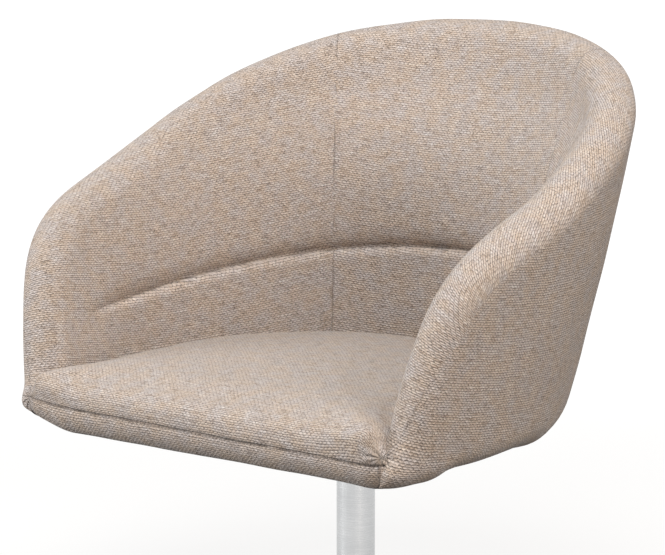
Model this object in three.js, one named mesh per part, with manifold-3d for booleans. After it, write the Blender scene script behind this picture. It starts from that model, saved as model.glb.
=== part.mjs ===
// A padded tub armchair that swivels on a steel column with a four-armed foot.
// Millimetres, +Z up. The sitter faces -Y. The origin is on the floor, under the swivel axis.

import * as THREE from 'three';
import { mergeVertices } from 'three/addons/utils/BufferGeometryUtils.js';
import Module from 'manifold-3d';

const wasm = await Module();
wasm.setup();

// Clearances
const fitGap = 0.3; // between a piece and the neighbour that it is cut by or rests on
const softGap = 0.8; // between a padded piece and its neighbour
const overrun = 6; // how far a cutting solid runs past what it cuts

// The tub's main sizes
const undersideHeight = 315; // floor to the tub's underside
const tubHeight = 494; // underside to the top of the back
const tubRadius = 400; // plan centre out to the middle of the wall, at the back's top
const axisSetback = 103.5; // plan centre back to the swivel axis
const wallThickness = 61.5;
const armSweep = THREE.MathUtils.degToRad(126); // from the middle of the back round to an arm's tip
const frontLead = 27; // how far the seat's front stands before the arms' tips

// The wall's plan at its foot and at the back's full height, evenly spaced from the back to an arm's tip
const footRadiusShares = [0.76, 0.762, 0.705, 0.724, 0.755, 0.83];
const topRadiusShares = [0.998, 1.02, 1.007, 0.913, 0.889, 0.976];
const wallBulgeShare = 0.295; // how much the wall swells between its foot and its top
// The crest falls from the back to the arms and then down to the seat's front corners
const crestAngleShares = [0, 0.127, 0.28, 0.452, 0.598, 0.698, 0.907, 0.973, 1];
const crestHeightShares = [1, 0.99, 0.944, 0.823, 0.7, 0.624, 0.528, 0.24, 0.027];
const crestRadiusShare = 0.875; // of the tub's radius, for lengths along the wall near its crest
// The outer face is drawn in under the tub, in a quarter ellipse
const backTuckHeight = 73;
const backTuckDepth = 60;
const tipTuckHeight = 26;
const tipTuckDepth = 50;

// The panel inside the wall
const panelThickness = 10;
const panelFoot = 17; // underside to the panel's lower edge
const panelCrestMargin = 45; // padding between the panel's upper edge and the crest
const panelEndStation = 13; // stations round the wall, out of wallStations

// The lower back pad, between the fold and the seat
const padDepth = 16; // let into the wall
const padSwell = 9; // stands proud of the wall
const padSwellPower = 0.7;
const padEndStation = 15;
const foldBackHeight = 188;
const foldTipHeight = 124;
const foldRoll = 7; // the wall's padding rolls over above the fold
const foldRollHeight = 150;

// The seat board and its padding
const boardThickness = 18;
const boardFoot = 10; // underside of the tub to the board
const boardWrapStation = 12; // where the board's edge leaves the panel
const boardFrontInset = 14;
const boardSideInset = 43.6; // from an arm's tip in to the board's front corner
const seatCrease = 72; // underside of the tub to the seat where it meets the back
const seatCrown = 17;
const seamDraw = 3; // the seat's front is drawn in at the seam
const frontRoll = 27;
const frontCornerRadius = 16;
const seatCentreShare = 0.12; // of the front reach, behind the plan centre
const borderLap = 44; // how far the front border goes back under the board
const dustCoverThickness = 1.2;
const dustCoverMargin = 2;

// The mounting plate and the spindle
const plateSide = 220;
const plateThickness = 5;
const plateCornerRadius = 22;
const boltSpacing = 170;
const boltRadius = 4;
const boltHeadRadius = 7.5;
const boltHeadHeight = 5.3;
const nutFlangeRadius = 11;
const nutFlangeThickness = 1.5;
const nutBarrelRadius = 5.2;
const nutBarrelLength = 11;
const bossRadius = 30;
const bossHeight = 26;
const gussetThickness = 4;
const gussetReach = 52;
const spindleRadius = 12.5;
const spindleTapRadius = 5.3;
const spindleTapDepth = 32;

// The column and its bearings
const columnRadius = 25;
const columnWall = 3;
const columnFoot = 30; // floor to the tube's lower end
const runningGap = 0.3; // under the boss, where the seat turns
const washerRadius = 24;
const washerThickness = 2.5;
const bushFlangeThickness = 3;
const bushLength = 34;
const lowerBushFoot = 92;
const endPlay = 0.5;
const retainerRadius = 20;
const retainerThickness = 3;
const retainerScrewRadius = 5;
const retainerScrewLength = 26;
const retainerHeadRadius = 8;
const retainerHeadHeight = 8;

// The foot
const footRadius = 345; // swivel axis to an arm's tip
const hubRadius = 41;
const hubFoot = 24;
const hubHeight = 66;
const hubChamfer = 4;
const armTipDrop = 15; // the tip's height, top to bottom
const armRootDrop = 36;
const armRootFoot = 36; // floor to the arm's underside at the hub
const armTipWidth = 30;
const armRootWidth = 46;
const armEdgeRadius = 6;
const armPadLength = 58; // the level stretch over the glide
const armNoseShare = 0.035; // of the arm's length, where its tip rounds off
const armNoseNarrowing = 0.8;
const glideRadius = 19;
const glideHeight = 9;
const glideChamfer = 2.5;
const glideInset = 27; // arm's tip back to the glide's middle
const studRadius = 4;
const studLength = 15;
const studSeat = 4; // how deep the stud sits in the glide
const capThickness = 4;
const capRadius = 34;
const capSpigot = 9;

// Panel screws
const screwShankRadius = 2.2;
const screwHeadRadius = 4.5;
const screwHeadHeight = 3;
const screwLength = 38;
const screwRise = 6; // above the panel's lower edge
const screwSink = 1.5; // below the panel's face
const screwAngleShares = [-0.66, -0.41, -0.14, 0.14, 0.41, 0.66];

// Mesh fineness
const roundSteps = 40;
const smallSteps = 12;
const wallStations = 16; // from the middle of the back to an arm's tip, shared by all that follows the wall
const tipStation = 11; // where the part of the wall begins that the seat's front is cut by
const footSpreadShare = 0.25; // columns lie closer together at the tips' feet
const crestRowShares = [0.13, 0.5, 1.1]; // rows below the crest, of half the wall's thickness
const lowCrestShare = 0.45; // the same rows where the crest is low, of its height
const tuckRowShares = [1, 0.6, 0.3, 0.1, 0]; // rows above the outer foot, of the tuck's height
const innerRowShares = [0.66, 0.33, 0]; // rows of the inner face, of the height that is left
const padRows = 5;
const pocketRows = 2;
const cornerSteps = 4;
const frontSteps = 8;
const crestSamples = 240;

// Heights that follow from the sizes above
const boardTop = boardFoot + boardThickness;
const plateFoot = undersideHeight + boardFoot - dustCoverThickness - plateThickness;
const bossFoot = plateFoot - bossHeight;
const washerFoot = bossFoot - runningGap - washerThickness;
const columnTop = washerFoot - bushFlangeThickness;
const boreRadius = columnRadius - columnWall;
const retainerTop = lowerBushFoot - endPlay;
const wallHalf = wallThickness / 2;
const seatEdge = wallHalf + softGap;

// Finishes
const cloth = { color: 0xa89a8b, roughness: 0.95, metalness: 0 };
const blackCloth = { color: 0x1c1c1d, roughness: 0.95, metalness: 0 };
const plywood = { color: 0xb58d5f, roughness: 0.6, metalness: 0 };
const satinSteel = { color: 0xb9bbbd, roughness: 0.35, metalness: 1 };
const zincSteel = { color: 0xa3a7ab, roughness: 0.45, metalness: 1 };
const paintedSteel = { color: 0x2b2c2e, roughness: 0.5, metalness: 0.3 };
const paleNylon = { color: 0xe8e4d8, roughness: 0.5, metalness: 0 };
const blackNylon = { color: 0x161617, roughness: 0.6, metalness: 0 };

const chair = new THREE.Group();

function place(name, geometry, finish) {
  const mesh = new THREE.Mesh(geometry, new THREE.MeshStandardMaterial(finish));
  mesh.name = name;
  chair.add(mesh);
  return mesh;
}

// Closed meshes and solids

function lerp(a, b, share) {
  return a + (b - a) * share;
}

function clamp01(value) {
  return Math.min(Math.max(value, 0), 1);
}

// Joins coincident points, drops triangles that have no area and turns the faces outwards
function closed(geometry) {
  const bare = new THREE.BufferGeometry();
  bare.setAttribute('position', geometry.getAttribute('position'));
  if (geometry.index) bare.setIndex(geometry.index);
  const merged = mergeVertices(bare);
  const corners = merged.index.array;
  const kept = [];
  for (let i = 0; i < corners.length; i += 3) {
    const [a, b, c] = [corners[i], corners[i + 1], corners[i + 2]];
    if (a !== b && b !== c && c !== a) kept.push(a, b, c);
  }
  if (signedVolume(merged.getAttribute('position'), kept) < 0) kept.reverse();
  merged.setIndex(kept);
  merged.computeVertexNormals();
  return merged;
}

function signedVolume(position, corners) {
  const [a, b, c] = [new THREE.Vector3(), new THREE.Vector3(), new THREE.Vector3()];
  let volume = 0;
  for (let i = 0; i < corners.length; i += 3) {
    a.fromBufferAttribute(position, corners[i]);
    b.fromBufferAttribute(position, corners[i + 1]);
    c.fromBufferAttribute(position, corners[i + 2]);
    volume += a.dot(b.cross(c)) / 6;
  }
  return volume;
}

function toSolid(geometry) {
  const mesh = closed(geometry);
  return new wasm.Manifold(new wasm.Mesh({
    numProp: 3,
    vertProperties: mesh.getAttribute('position').array,
    triVerts: Uint32Array.from(mesh.index.array),
  }));
}

function toGeometry(solid) {
  const mesh = solid.getMesh();
  const geometry = new THREE.BufferGeometry();
  geometry.setAttribute('position', new THREE.BufferAttribute(mesh.vertProperties, mesh.numProp));
  geometry.setIndex(new THREE.BufferAttribute(mesh.triVerts, 1));
  geometry.computeVertexNormals();
  return geometry;
}

function cut(geometry, ...tools) {
  return toGeometry(tools.reduce((solid, tool) => solid.subtract(toSolid(tool)), toSolid(geometry)));
}

// A skin over loops of equal length, closed at both ends by strips across the loop
function loft(loops) {
  const size = loops[0].length;
  const points = loops.flat().flatMap(p => [p.x, p.y, p.z]);
  const corners = [];
  for (let i = 0; i + 1 < loops.length; i++) {
    for (let k = 0; k < size; k++) {
      const [a, b] = [i * size + k, i * size + (k + 1) % size];
      corners.push(a, b, a + size, b, b + size, a + size);
    }
  }
  const lastLoop = (loops.length - 1) * size;
  for (let k = 0; 2 * k < size - 2; k++) {
    const [a, b, c, d] = [k, k + 1, size - 1 - k, size - 2 - k];
    corners.push(b, a, c, b, c, d);
    corners.push(lastLoop + a, lastLoop + b, lastLoop + c, lastLoop + c, lastLoop + b, lastLoop + d);
  }
  const geometry = new THREE.BufferGeometry();
  geometry.setAttribute('position', new THREE.Float32BufferAttribute(points, 3));
  geometry.setIndex(corners);
  return closed(geometry);
}

// A turned piece about the Z axis, from a closed profile of [radius, height]
function turned(profile, steps = roundSteps) {
  const points = profile.map(([radius, height]) => new THREE.Vector2(radius, height));
  if (profile[0][0] > 0) points.push(points[0].clone());
  return closed(new THREE.LatheGeometry(points, steps).rotateX(Math.PI / 2));
}

function disc(radius, foot, top, steps = roundSteps) {
  return turned([[0, foot], [radius, foot], [radius, top], [0, top]], steps);
}

function ring(innerRadius, outerRadius, foot, top, steps = roundSteps) {
  return turned([[innerRadius, foot], [outerRadius, foot], [outerRadius, top], [innerRadius, top]], steps);
}

// A flat plate from an outline of Vector2 points
function plate(outline, foot, top) {
  const shape = new THREE.Shape(outline);
  const geometry = new THREE.ExtrudeGeometry(shape, { depth: top - foot, bevelEnabled: false });
  return closed(geometry.translate(0, 0, foot));
}

function roundedRectangle(halfWidth, halfDepth, radius, steps) {
  const outline = [];
  for (let corner = 0; corner < 4; corner++) {
    const start = corner * Math.PI / 2;
    const signX = corner === 0 || corner === 3 ? 1 : -1;
    const signY = corner < 2 ? 1 : -1;
    for (let k = 0; k <= steps; k++) {
      const angle = start + k / steps * Math.PI / 2;
      outline.push(new THREE.Vector2(
        signX * (halfWidth - radius) + radius * Math.cos(angle),
        signY * (halfDepth - radius) + radius * Math.sin(angle),
      ));
    }
  }
  return outline;
}

// The wall's middle surface

// A uniform cubic spline over evenly spaced values, mirrored at its first one, or turned about it
function spline(values, share, turnedStart = false) {
  const last = values.length - 1;
  const along = clamp01(share) * last;
  const k = Math.min(Math.floor(along), last - 1);
  const t = along - k;
  const before = k > 0 ? values[k - 1] : (turnedStart ? -values[1] : values[1]);
  const after = k + 2 <= last ? values[k + 2] : 2 * values[last] - values[last - 1];
  const weightBefore = (1 - t) ** 3;
  const weightHere = 3 * t ** 3 - 6 * t ** 2 + 4;
  const weightNext = -3 * t ** 3 + 3 * t ** 2 + 3 * t + 1;
  return (weightBefore * before + weightHere * values[k] + weightNext * values[k + 1] + t ** 3 * after) / 6;
}

// The crest's angle and height at a place from -1, one arm's tip, to 1, the other's
function crest(side) {
  const away = Math.abs(side);
  return {
    angle: Math.sign(side) * armSweep * spline(crestAngleShares, away, true),
    height: tubHeight * spline(crestHeightShares, away),
  };
}

const crestLine = Array.from({ length: crestSamples + 1 }, (_, i) => crest(2 * i / crestSamples - 1));

function crestHeightAt(angle) {
  const near = crestLine.reduce((a, b) => (Math.abs(b.angle - angle) < Math.abs(a.angle - angle) ? b : a));
  return near.height;
}

// A point of the wall's middle surface, without its normal
function middle(angle, height) {
  const share = Math.abs(angle) / armSweep;
  const rise = height / tubHeight;
  const swollen = rise + wallBulgeShare * rise * (1 - rise);
  const radius = tubRadius * lerp(spline(footRadiusShares, share), spline(topRadiusShares, share), swollen);
  return new THREE.Vector3(
    Math.sin(angle) * radius,
    Math.cos(angle) * radius - axisSetback,
    undersideHeight + height,
  );
}

// From the plan centre forward to the front of the seat
const frontReach = frontLead - axisSetback - middle(armSweep, 0).y;

// A point that lies an offset outside the wall's middle surface
function wallPoint(angle, height, offset = 0) {
  const turn = 1e-3;
  const lift = turn * tubRadius;
  const along = middle(angle + turn, height).sub(middle(angle - turn, height));
  const up = middle(angle, height + lift).sub(middle(angle, height - lift));
  const normal = up.cross(along).normalize();
  if (normal.x * Math.sin(angle) + normal.y * Math.cos(angle) < 0) normal.negate();
  return middle(angle, height).addScaledVector(normal, offset);
}

// The same offset, measured where it comes out level with a height above the underside
function levelPoint(angle, height, offset) {
  const rise = wallPoint(angle, height, offset).z - undersideHeight - height;
  return wallPoint(angle, height - rise, offset).setZ(undersideHeight + height);
}

// Angles from one side round the back to the other, with the two ends moved out by a clearance
function stationAngles(end, clearance = 0) {
  const angles = [];
  for (let i = -end; i <= end; i++) angles.push(i / wallStations * armSweep);
  angles[0] -= clearance / tubRadius;
  angles[angles.length - 1] += clearance / tubRadius;
  return angles;
}

// Half the padding's thickness, which closes to nothing in a half round at the crest
function halfThickness(angle, height) {
  const arc = crestRadiusShare * tubRadius;
  const distances = crestLine.map(c => Math.hypot((angle - c.angle) * arc, height - c.height));
  const inwards = clamp01(Math.min(...distances) / wallHalf);
  return wallHalf * Math.sqrt(1 - (1 - inwards) ** 2);
}

// How far the outer face is drawn in at a height above the underside
function tuck(angle, height) {
  const towardsTip = clamp01(Math.abs(angle) / armSweep) ** 1.5;
  const rise = lerp(backTuckHeight, tipTuckHeight, towardsTip);
  const depth = lerp(backTuckDepth, tipTuckDepth, towardsTip);
  const below = 1 - clamp01(height / rise);
  return depth * (1 - Math.sqrt(1 - below ** 2));
}

function foldHeight(angle) {
  const share = clamp01(Math.abs(angle) / armSweep);
  return lerp(foldBackHeight, foldTipHeight, 3 * share ** 2 - 2 * share ** 3);
}

// How far the padding rolls over the fold
function foldOverhang(angle, height) {
  const above = (height - foldHeight(angle)) / foldRollHeight;
  if (above < 0 || above > 1) return 0;
  const towardsTip = 1 - clamp01(Math.abs(angle) / (armSweep * padEndStation / wallStations)) ** 4;
  return foldRoll * towardsTip * (1 - above) ** 2;
}

// Padded pieces

// One section of the wall's padding, from its outer foot over the crest to its inner foot
function paddingSection(side, grow) {
  const top = crest(side);
  const away = Math.abs(side);
  const footAngle = Math.sign(side) * armSweep * clamp01(away + footSpreadShare * away * (1 - away));
  const rise = lerp(backTuckHeight, tipTuckHeight, away);
  const angleAt = height => lerp(footAngle, top.angle, height / top.height);
  const underCrest = crestRowShares.map(share => {
    return top.height - Math.min(share * wallHalf, share * lowCrestShare * top.height);
  });
  const overFoot = tuckRowShares.map(share => Math.min(share * rise, share * lowCrestShare * top.height));
  const between = (underCrest.at(-1) + overFoot[0]) / 2;
  const outerFace = height => {
    const half = halfThickness(angleAt(height), height);
    const drawn = Math.min(tuck(angleAt(height), height), 2 * half);
    return wallPoint(angleAt(height), height, half - drawn + grow);
  };
  const innerFace = height => {
    const half = halfThickness(angleAt(height), height);
    const rolled = half / wallHalf * foldOverhang(angleAt(height), height);
    return wallPoint(angleAt(height), height, -half - rolled - grow);
  };
  const outer = [...underCrest, between, ...overFoot].map(outerFace);
  const inner = [...underCrest, ...innerRowShares.map(share => share * underCrest.at(-1))].map(innerFace);
  const edge = wallPoint(top.angle + Math.sign(side) * 2 * grow / tubRadius, top.height + grow);
  return [...outer.reverse(), edge, ...inner];
}

// The wall's padding, or the part of it near the tips grown by a clearance, to cut a neighbour with
function tubPadding() {
  const sides = [];
  for (let i = -wallStations; i <= wallStations; i++) sides.push(i / wallStations);
  return loft(sides.map(side => paddingSection(side, 0)));
}

function paddingTip(sign) {
  const sides = [];
  for (let i = tipStation; i <= wallStations; i++) sides.push(sign * i / wallStations);
  sides.sort((a, b) => a - b);
  return loft(sides.map(side => paddingSection(side, softGap)));
}

// The lower back pad, or the pocket for it in the wall
function lowerBackPad(pocket = false) {
  const clearance = pocket ? softGap : 0;
  const rows = pocket ? pocketRows : padRows;
  const end = padEndStation / wallStations * armSweep;
  const loops = stationAngles(padEndStation, clearance).map(angle => {
    const taper = Math.sqrt(1 - clamp01(Math.abs(angle) / end) ** 6);
    const foot = boardTop + fitGap - clearance;
    const top = foldHeight(angle) + clearance;
    const face = [levelPoint(angle, foot, -wallHalf - (pocket ? overrun + padSwell : 0))];
    const back = [levelPoint(angle, foot, -wallHalf + padDepth + clearance)];
    for (let j = 0; j <= rows; j++) {
      const height = lerp(seatCrease, top, j / rows);
      const swell = padSwell * taper * Math.sin(Math.PI * j / rows) ** padSwellPower;
      const proud = pocket ? overrun + padSwell : swell;
      face.push(levelPoint(angle, height, -wallHalf - proud));
      back.push(levelPoint(angle, height, -wallHalf + padDepth + clearance));
    }
    return [...face, ...back.reverse()];
  });
  return loft(loops);
}

// Half the seat's width between the arms' tips
const frontHalfWidth = middle(armSweep, 0).x;
const boardFrontHalfWidth = frontHalfWidth - boardSideInset;

// How far the seat's front is set back at a height above the underside
function frontInset(height) {
  const fromTop = clamp01(1 - (seatCrease - height) / frontRoll);
  const fromFoot = clamp01(1 - height / frontRoll);
  const round = Math.max(fromTop, fromFoot);
  const seam = seamDraw * Math.exp(-(((height - boardTop) / seamDraw) ** 2));
  return frontRoll * (1 - Math.sqrt(1 - round ** 2)) + seam;
}

// The seat's outline: round the back between the walls, then out to the front corners
function seatOutline(height) {
  const outline = stationAngles(padEndStation).reverse().map(angle => levelPoint(angle, height, -seatEdge));
  const inset = frontInset(height);
  const front = -frontReach - axisSetback + inset;
  const level = undersideHeight + height;
  const rightCorner = [];
  for (let k = 0; k <= cornerSteps; k++) {
    const angle = k / cornerSteps * Math.PI / 2;
    const x = frontHalfWidth - frontCornerRadius * (1 - Math.cos(angle));
    const y = front + frontCornerRadius * (1 - Math.sin(angle));
    rightCorner.push(new THREE.Vector3(x, y, level));
  }
  const leftCorner = rightCorner.map(p => new THREE.Vector3(-p.x, p.y, p.z));
  outline.push(...leftCorner);
  for (let k = 1; k < frontSteps; k++) {
    outline.push(leftCorner.at(-1).clone().lerp(rightCorner.at(-1), k / frontSteps));
  }
  outline.push(...rightCorner.reverse());
  return outline;
}

function seatCushion() {
  const heightShares = [0, 0.12, 0.4, 0.65, 0.85, 0.95, 1];
  const crownShares = [0.93, 0.8, 0.6, 0.35];
  const foot = boardTop + fitGap;
  const loops = heightShares.map(share => seatOutline(lerp(foot, seatCrease, share)));
  const rim = loops.at(-1);
  const centreY = seatCentreShare * frontReach - axisSetback;
  const centre = new THREE.Vector3(0, centreY, undersideHeight + seatCrease);
  for (const share of crownShares) {
    const rise = seatCrown * (1 - share ** 2);
    loops.push(rim.map(p => centre.clone().lerp(p, share).setZ(centre.z + rise)));
  }
  return fanned(loops, centre.clone().setZ(centre.z + seatCrown));
}

// A skin over loops, flat underneath and closed by a fan to a middle point on top
function fanned(loops, top) {
  const size = loops[0].length;
  const foot = loops[0].reduce((sum, p) => sum.addScaledVector(p, 1 / size), new THREE.Vector3());
  const points = [foot, ...loops.flat(), top];
  const corners = [];
  for (let k = 0; k < size; k++) {
    const next = (k + 1) % size;
    corners.push(0, 1 + next, 1 + k);
    for (let i = 0; i + 1 < loops.length; i++) {
      const [a, b] = [1 + i * size + k, 1 + i * size + next];
      corners.push(a, b, a + size, b, b + size, a + size);
    }
    const lastLoop = 1 + (loops.length - 1) * size;
    corners.push(lastLoop + k, lastLoop + next, points.length - 1);
  }
  const geometry = new THREE.BufferGeometry();
  const places = points.flatMap(p => [p.x, p.y, p.z]);
  geometry.setAttribute('position', new THREE.Float32BufferAttribute(places, 3));
  geometry.setIndex(corners);
  return closed(geometry);
}

// The padded border under the seat's front, wrapped round the board's front edge
function frontBorder() {
  const turnShares = [0, 0.08, 0.25, 0.5, 0.75, 1];
  const stationShares = [-1, -0.985, -0.96, -0.93, -0.88, -0.5, 0, 0.5, 0.88, 0.93, 0.96, 0.985, 1];
  const boardFront = -frontReach - axisSetback + boardFrontInset;
  const lapReach = boardFrontHalfWidth + borderLap / 2;
  const loops = stationShares.map(share => {
    const x = frontHalfWidth * share;
    const past = Math.max(Math.abs(x) - frontHalfWidth + frontCornerRadius, 0);
    const round = frontCornerRadius - Math.sqrt(frontCornerRadius ** 2 - past ** 2);
    const lap = Math.abs(x) < lapReach - softGap ? borderLap : boardFrontInset - softGap;
    const lapEnd = -frontReach - axisSetback + lap;
    const at = (y, height) => new THREE.Vector3(x, y, undersideHeight + height);
    const face = turnShares.map(turn => {
      const height = turn * boardTop;
      const set = Math.min(frontInset(height) + round, boardFrontInset + frontRoll);
      return at(-frontReach - axisSetback + set, height);
    });
    face.push(at(Math.max(face.at(-1).y, boardFront - softGap), boardTop));
    face.push(at(boardFront - softGap, boardTop));
    face.push(at(boardFront - softGap, boardFoot - fitGap));
    face.push(at(lapEnd, boardFoot - fitGap));
    face.push(at(lapEnd, 0));
    return face;
  });
  return loft(loops);
}

// Board, panel and covers

function boardOutline(height, margin) {
  const inside = -panelThickness / 2 - margin;
  const outline = stationAngles(boardWrapStation).reverse().map(angle => levelPoint(angle, height, inside));
  const front = -frontReach - axisSetback + boardFrontInset;
  const level = undersideHeight + height;
  outline.push(new THREE.Vector3(-boardFrontHalfWidth + margin, front, level));
  outline.push(new THREE.Vector3(boardFrontHalfWidth - margin, front, level));
  return outline;
}

function boardBlank(margin, foot, top) {
  const loops = [foot, top].map(height => boardOutline(height, margin));
  return fanned(loops, new THREE.Vector3(0, -axisSetback, undersideHeight + top));
}

// The curved panel, or the slot for it in the padding
function curvedPanel(clearance = 0) {
  const half = panelThickness / 2 + clearance;
  const loops = stationAngles(panelEndStation, clearance).map(angle => {
    const foot = panelFoot - clearance;
    const top = crestHeightAt(angle) - panelCrestMargin + clearance;
    const heights = [foot, boardTop, top];
    const outer = heights.map(height => levelPoint(angle, height, half));
    const inner = heights.map(height => levelPoint(angle, height, -half));
    return [...outer, ...inner.reverse()];
  });
  return loft(loops);
}

// One countersunk screw that points along +Z from its head at the origin, or the hole for it
function woodScrew(clearance = 0) {
  const shank = screwShankRadius + clearance;
  const head = screwHeadRadius + clearance;
  const mouth = clearance > 0 ? -overrun : 0;
  return turned([
    [0, mouth],
    [head, mouth],
    [head, clearance],
    [shank, screwHeadHeight + clearance],
    [shank, screwLength + clearance],
    [0, screwLength + clearance],
  ], smallSteps);
}

function panelScrews(clearance = 0) {
  return screwAngleShares.map(share => {
    const angle = share * armSweep;
    const outside = levelPoint(angle, panelFoot + screwRise, 0);
    const outwards = new THREE.Vector3(Math.sin(angle), Math.cos(angle), 0);
    outside.addScaledVector(outwards, panelThickness / 2 - screwSink);
    const up = new THREE.Vector3(0, 0, 1);
    const turn = new THREE.Quaternion().setFromUnitVectors(up, outwards.negate());
    return woodScrew(clearance).applyQuaternion(turn).translate(outside.x, outside.y, outside.z);
  });
}

// The four corners of a square bolt pattern
function atCorners(spacing, make) {
  const half = spacing / 2;
  return [[1, 1], [-1, 1], [-1, -1], [1, -1]].map(([x, y]) => make().translate(x * half, y * half, 0));
}

function seatBoard() {
  const foot = undersideHeight + boardFoot;
  const top = undersideHeight + boardTop;
  const boltHole = () => disc(nutBarrelRadius + fitGap, foot - overrun, top + overrun, smallSteps);
  const recessFoot = top - nutFlangeThickness - fitGap;
  const recess = () => disc(nutFlangeRadius + fitGap, recessFoot, top + overrun, smallSteps);
  return cut(
    boardBlank(fitGap, boardFoot, boardTop),
    ...atCorners(boltSpacing, boltHole),
    ...atCorners(boltSpacing, recess),
    ...panelScrews(fitGap),
  );
}

function dustCover() {
  const top = boardFoot;
  const foot = boardFoot - dustCoverThickness;
  const level = undersideHeight + foot;
  const outline = boardOutline(foot, wallHalf - panelThickness / 2 + dustCoverMargin);
  const front = -frontReach - axisSetback + borderLap + dustCoverMargin;
  const flat = outline.map(p => new THREE.Vector2(p.x, Math.max(p.y, front)));
  const blank = plate(flat, level, undersideHeight + top);
  const hole = () => disc(boltRadius + fitGap, level - overrun, undersideHeight + top + overrun, smallSteps);
  return cut(blank, ...atCorners(boltSpacing, hole));
}

// The swivel's turning parts

function mountingPlate() {
  const half = plateSide / 2;
  const outline = roundedRectangle(half, half, plateCornerRadius, cornerSteps);
  const blank = plate(outline, plateFoot, plateFoot + plateThickness);
  const through = [plateFoot - overrun, plateFoot + plateThickness + overrun];
  const hole = () => disc(boltRadius + fitGap, ...through, smallSteps);
  return cut(blank, disc(spindleRadius + fitGap, ...through), ...atCorners(boltSpacing, hole));
}

function plateBolt() {
  const headFoot = plateFoot - boltHeadHeight;
  const tip = undersideHeight + boardTop - nutFlangeThickness;
  const head = new THREE.CylinderGeometry(boltHeadRadius, boltHeadRadius, boltHeadHeight, 6);
  head.rotateX(Math.PI / 2).translate(0, 0, plateFoot - boltHeadHeight / 2);
  const shank = disc(boltRadius, headFoot + boltHeadHeight / 2, tip, smallSteps);
  return toGeometry(toSolid(head).add(toSolid(shank)));
}

function teeNut() {
  const top = undersideHeight + boardTop;
  const bore = boltRadius + fitGap;
  return turned([
    [bore, top - nutFlangeThickness - nutBarrelLength],
    [nutBarrelRadius, top - nutFlangeThickness - nutBarrelLength],
    [nutBarrelRadius, top - nutFlangeThickness],
    [nutFlangeRadius, top - nutFlangeThickness],
    [nutFlangeRadius, top],
    [bore, top],
  ], smallSteps);
}

function gusset(quarter) {
  const inner = bossRadius + fitGap;
  const outline = [
    new THREE.Vector2(inner, plateFoot),
    new THREE.Vector2(inner, bossFoot + gussetThickness),
    new THREE.Vector2(inner + gussetThickness, bossFoot + gussetThickness),
    new THREE.Vector2(inner + gussetReach, plateFoot - gussetThickness),
    new THREE.Vector2(inner + gussetReach, plateFoot),
  ];
  const shape = new THREE.Shape(outline);
  const blank = new THREE.ExtrudeGeometry(shape, { depth: gussetThickness, bevelEnabled: false });
  blank.translate(0, 0, -gussetThickness / 2).rotateX(Math.PI / 2);
  return closed(blank.rotateZ(quarter * Math.PI / 2));
}

function spindle() {
  const foot = retainerTop;
  const tapTop = foot + spindleTapDepth;
  return turned([
    [0, tapTop],
    [spindleTapRadius, tapTop],
    [spindleTapRadius, foot],
    [spindleRadius, foot],
    [spindleRadius, plateFoot + plateThickness],
    [0, plateFoot + plateThickness],
  ]);
}

function retainingScrew() {
  const headTop = retainerTop - retainerThickness;
  const head = new THREE.CylinderGeometry(retainerHeadRadius, retainerHeadRadius, retainerHeadHeight, 6);
  head.rotateX(Math.PI / 2).translate(0, 0, headTop - retainerHeadHeight / 2);
  const shankFoot = headTop - retainerHeadHeight / 2;
  const shank = disc(retainerScrewRadius, shankFoot, headTop + retainerScrewLength, smallSteps);
  return toGeometry(toSolid(head).add(toSolid(shank)));
}

// The column and the foot

function upperBush() {
  const inner = spindleRadius + fitGap;
  const sleeve = boreRadius - fitGap;
  return turned([
    [inner, columnTop - bushLength],
    [sleeve, columnTop - bushLength],
    [sleeve, columnTop],
    [columnRadius, columnTop],
    [columnRadius, columnTop + bushFlangeThickness],
    [inner, columnTop + bushFlangeThickness],
  ]);
}

function starHub() {
  const inner = columnRadius + fitGap;
  const top = hubFoot + hubHeight;
  return turned([
    [inner, hubFoot],
    [hubRadius - hubChamfer, hubFoot],
    [hubRadius, hubFoot + hubChamfer],
    [hubRadius, top - hubChamfer],
    [hubRadius - hubChamfer, top],
    [inner, top],
  ]);
}

// One arm of the foot along +X, coped to the hub and drilled for the glide's stud
function starArm(quarter) {
  const levelStart = (footRadius - armPadLength) / footRadius;
  const noseStart = 1 - armNoseShare;
  const slopeShares = [0.06, 0.3, 0.55];
  const padShares = [levelStart, (1 + levelStart) / 2];
  const noseShares = [noseStart, (1 + noseStart) / 2, 1];
  const stationShares = [...slopeShares, ...padShares, ...noseShares];
  const loops = stationShares.map(share => {
    const fall = clamp01(share / levelStart);
    const eased = fall * (2 - fall);
    const foot = lerp(armRootFoot, glideHeight, eased);
    const drop = lerp(armRootDrop, armTipDrop, fall);
    const nose = clamp01((share - noseStart) / armNoseShare);
    const narrowed = Math.sqrt(1 - armNoseNarrowing * nose ** 2);
    const halfWidth = lerp(armRootWidth, armTipWidth, fall) / 2 * narrowed;
    const edge = Math.min(armEdgeRadius, halfWidth / 2);
    const outline = roundedRectangle(halfWidth, drop / 2, edge, cornerSteps - 1);
    return outline.map(p => new THREE.Vector3(share * footRadius, p.x, foot + drop / 2 + p.y));
  });
  const hub = disc(hubRadius + fitGap, 0, 2 * hubHeight);
  const stud = disc(studRadius + fitGap, 0, glideHeight + studLength - studSeat + fitGap, smallSteps);
  stud.translate(footRadius - glideInset, 0, 0);
  return cut(loft(loops), hub, stud).rotateZ(armTurn(quarter));
}

function armTurn(quarter) {
  return (quarter + 0.5) * Math.PI / 2;
}

function glideAt(quarter, geometry) {
  return geometry.translate(footRadius - glideInset, 0, 0).rotateZ(armTurn(quarter));
}

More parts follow.
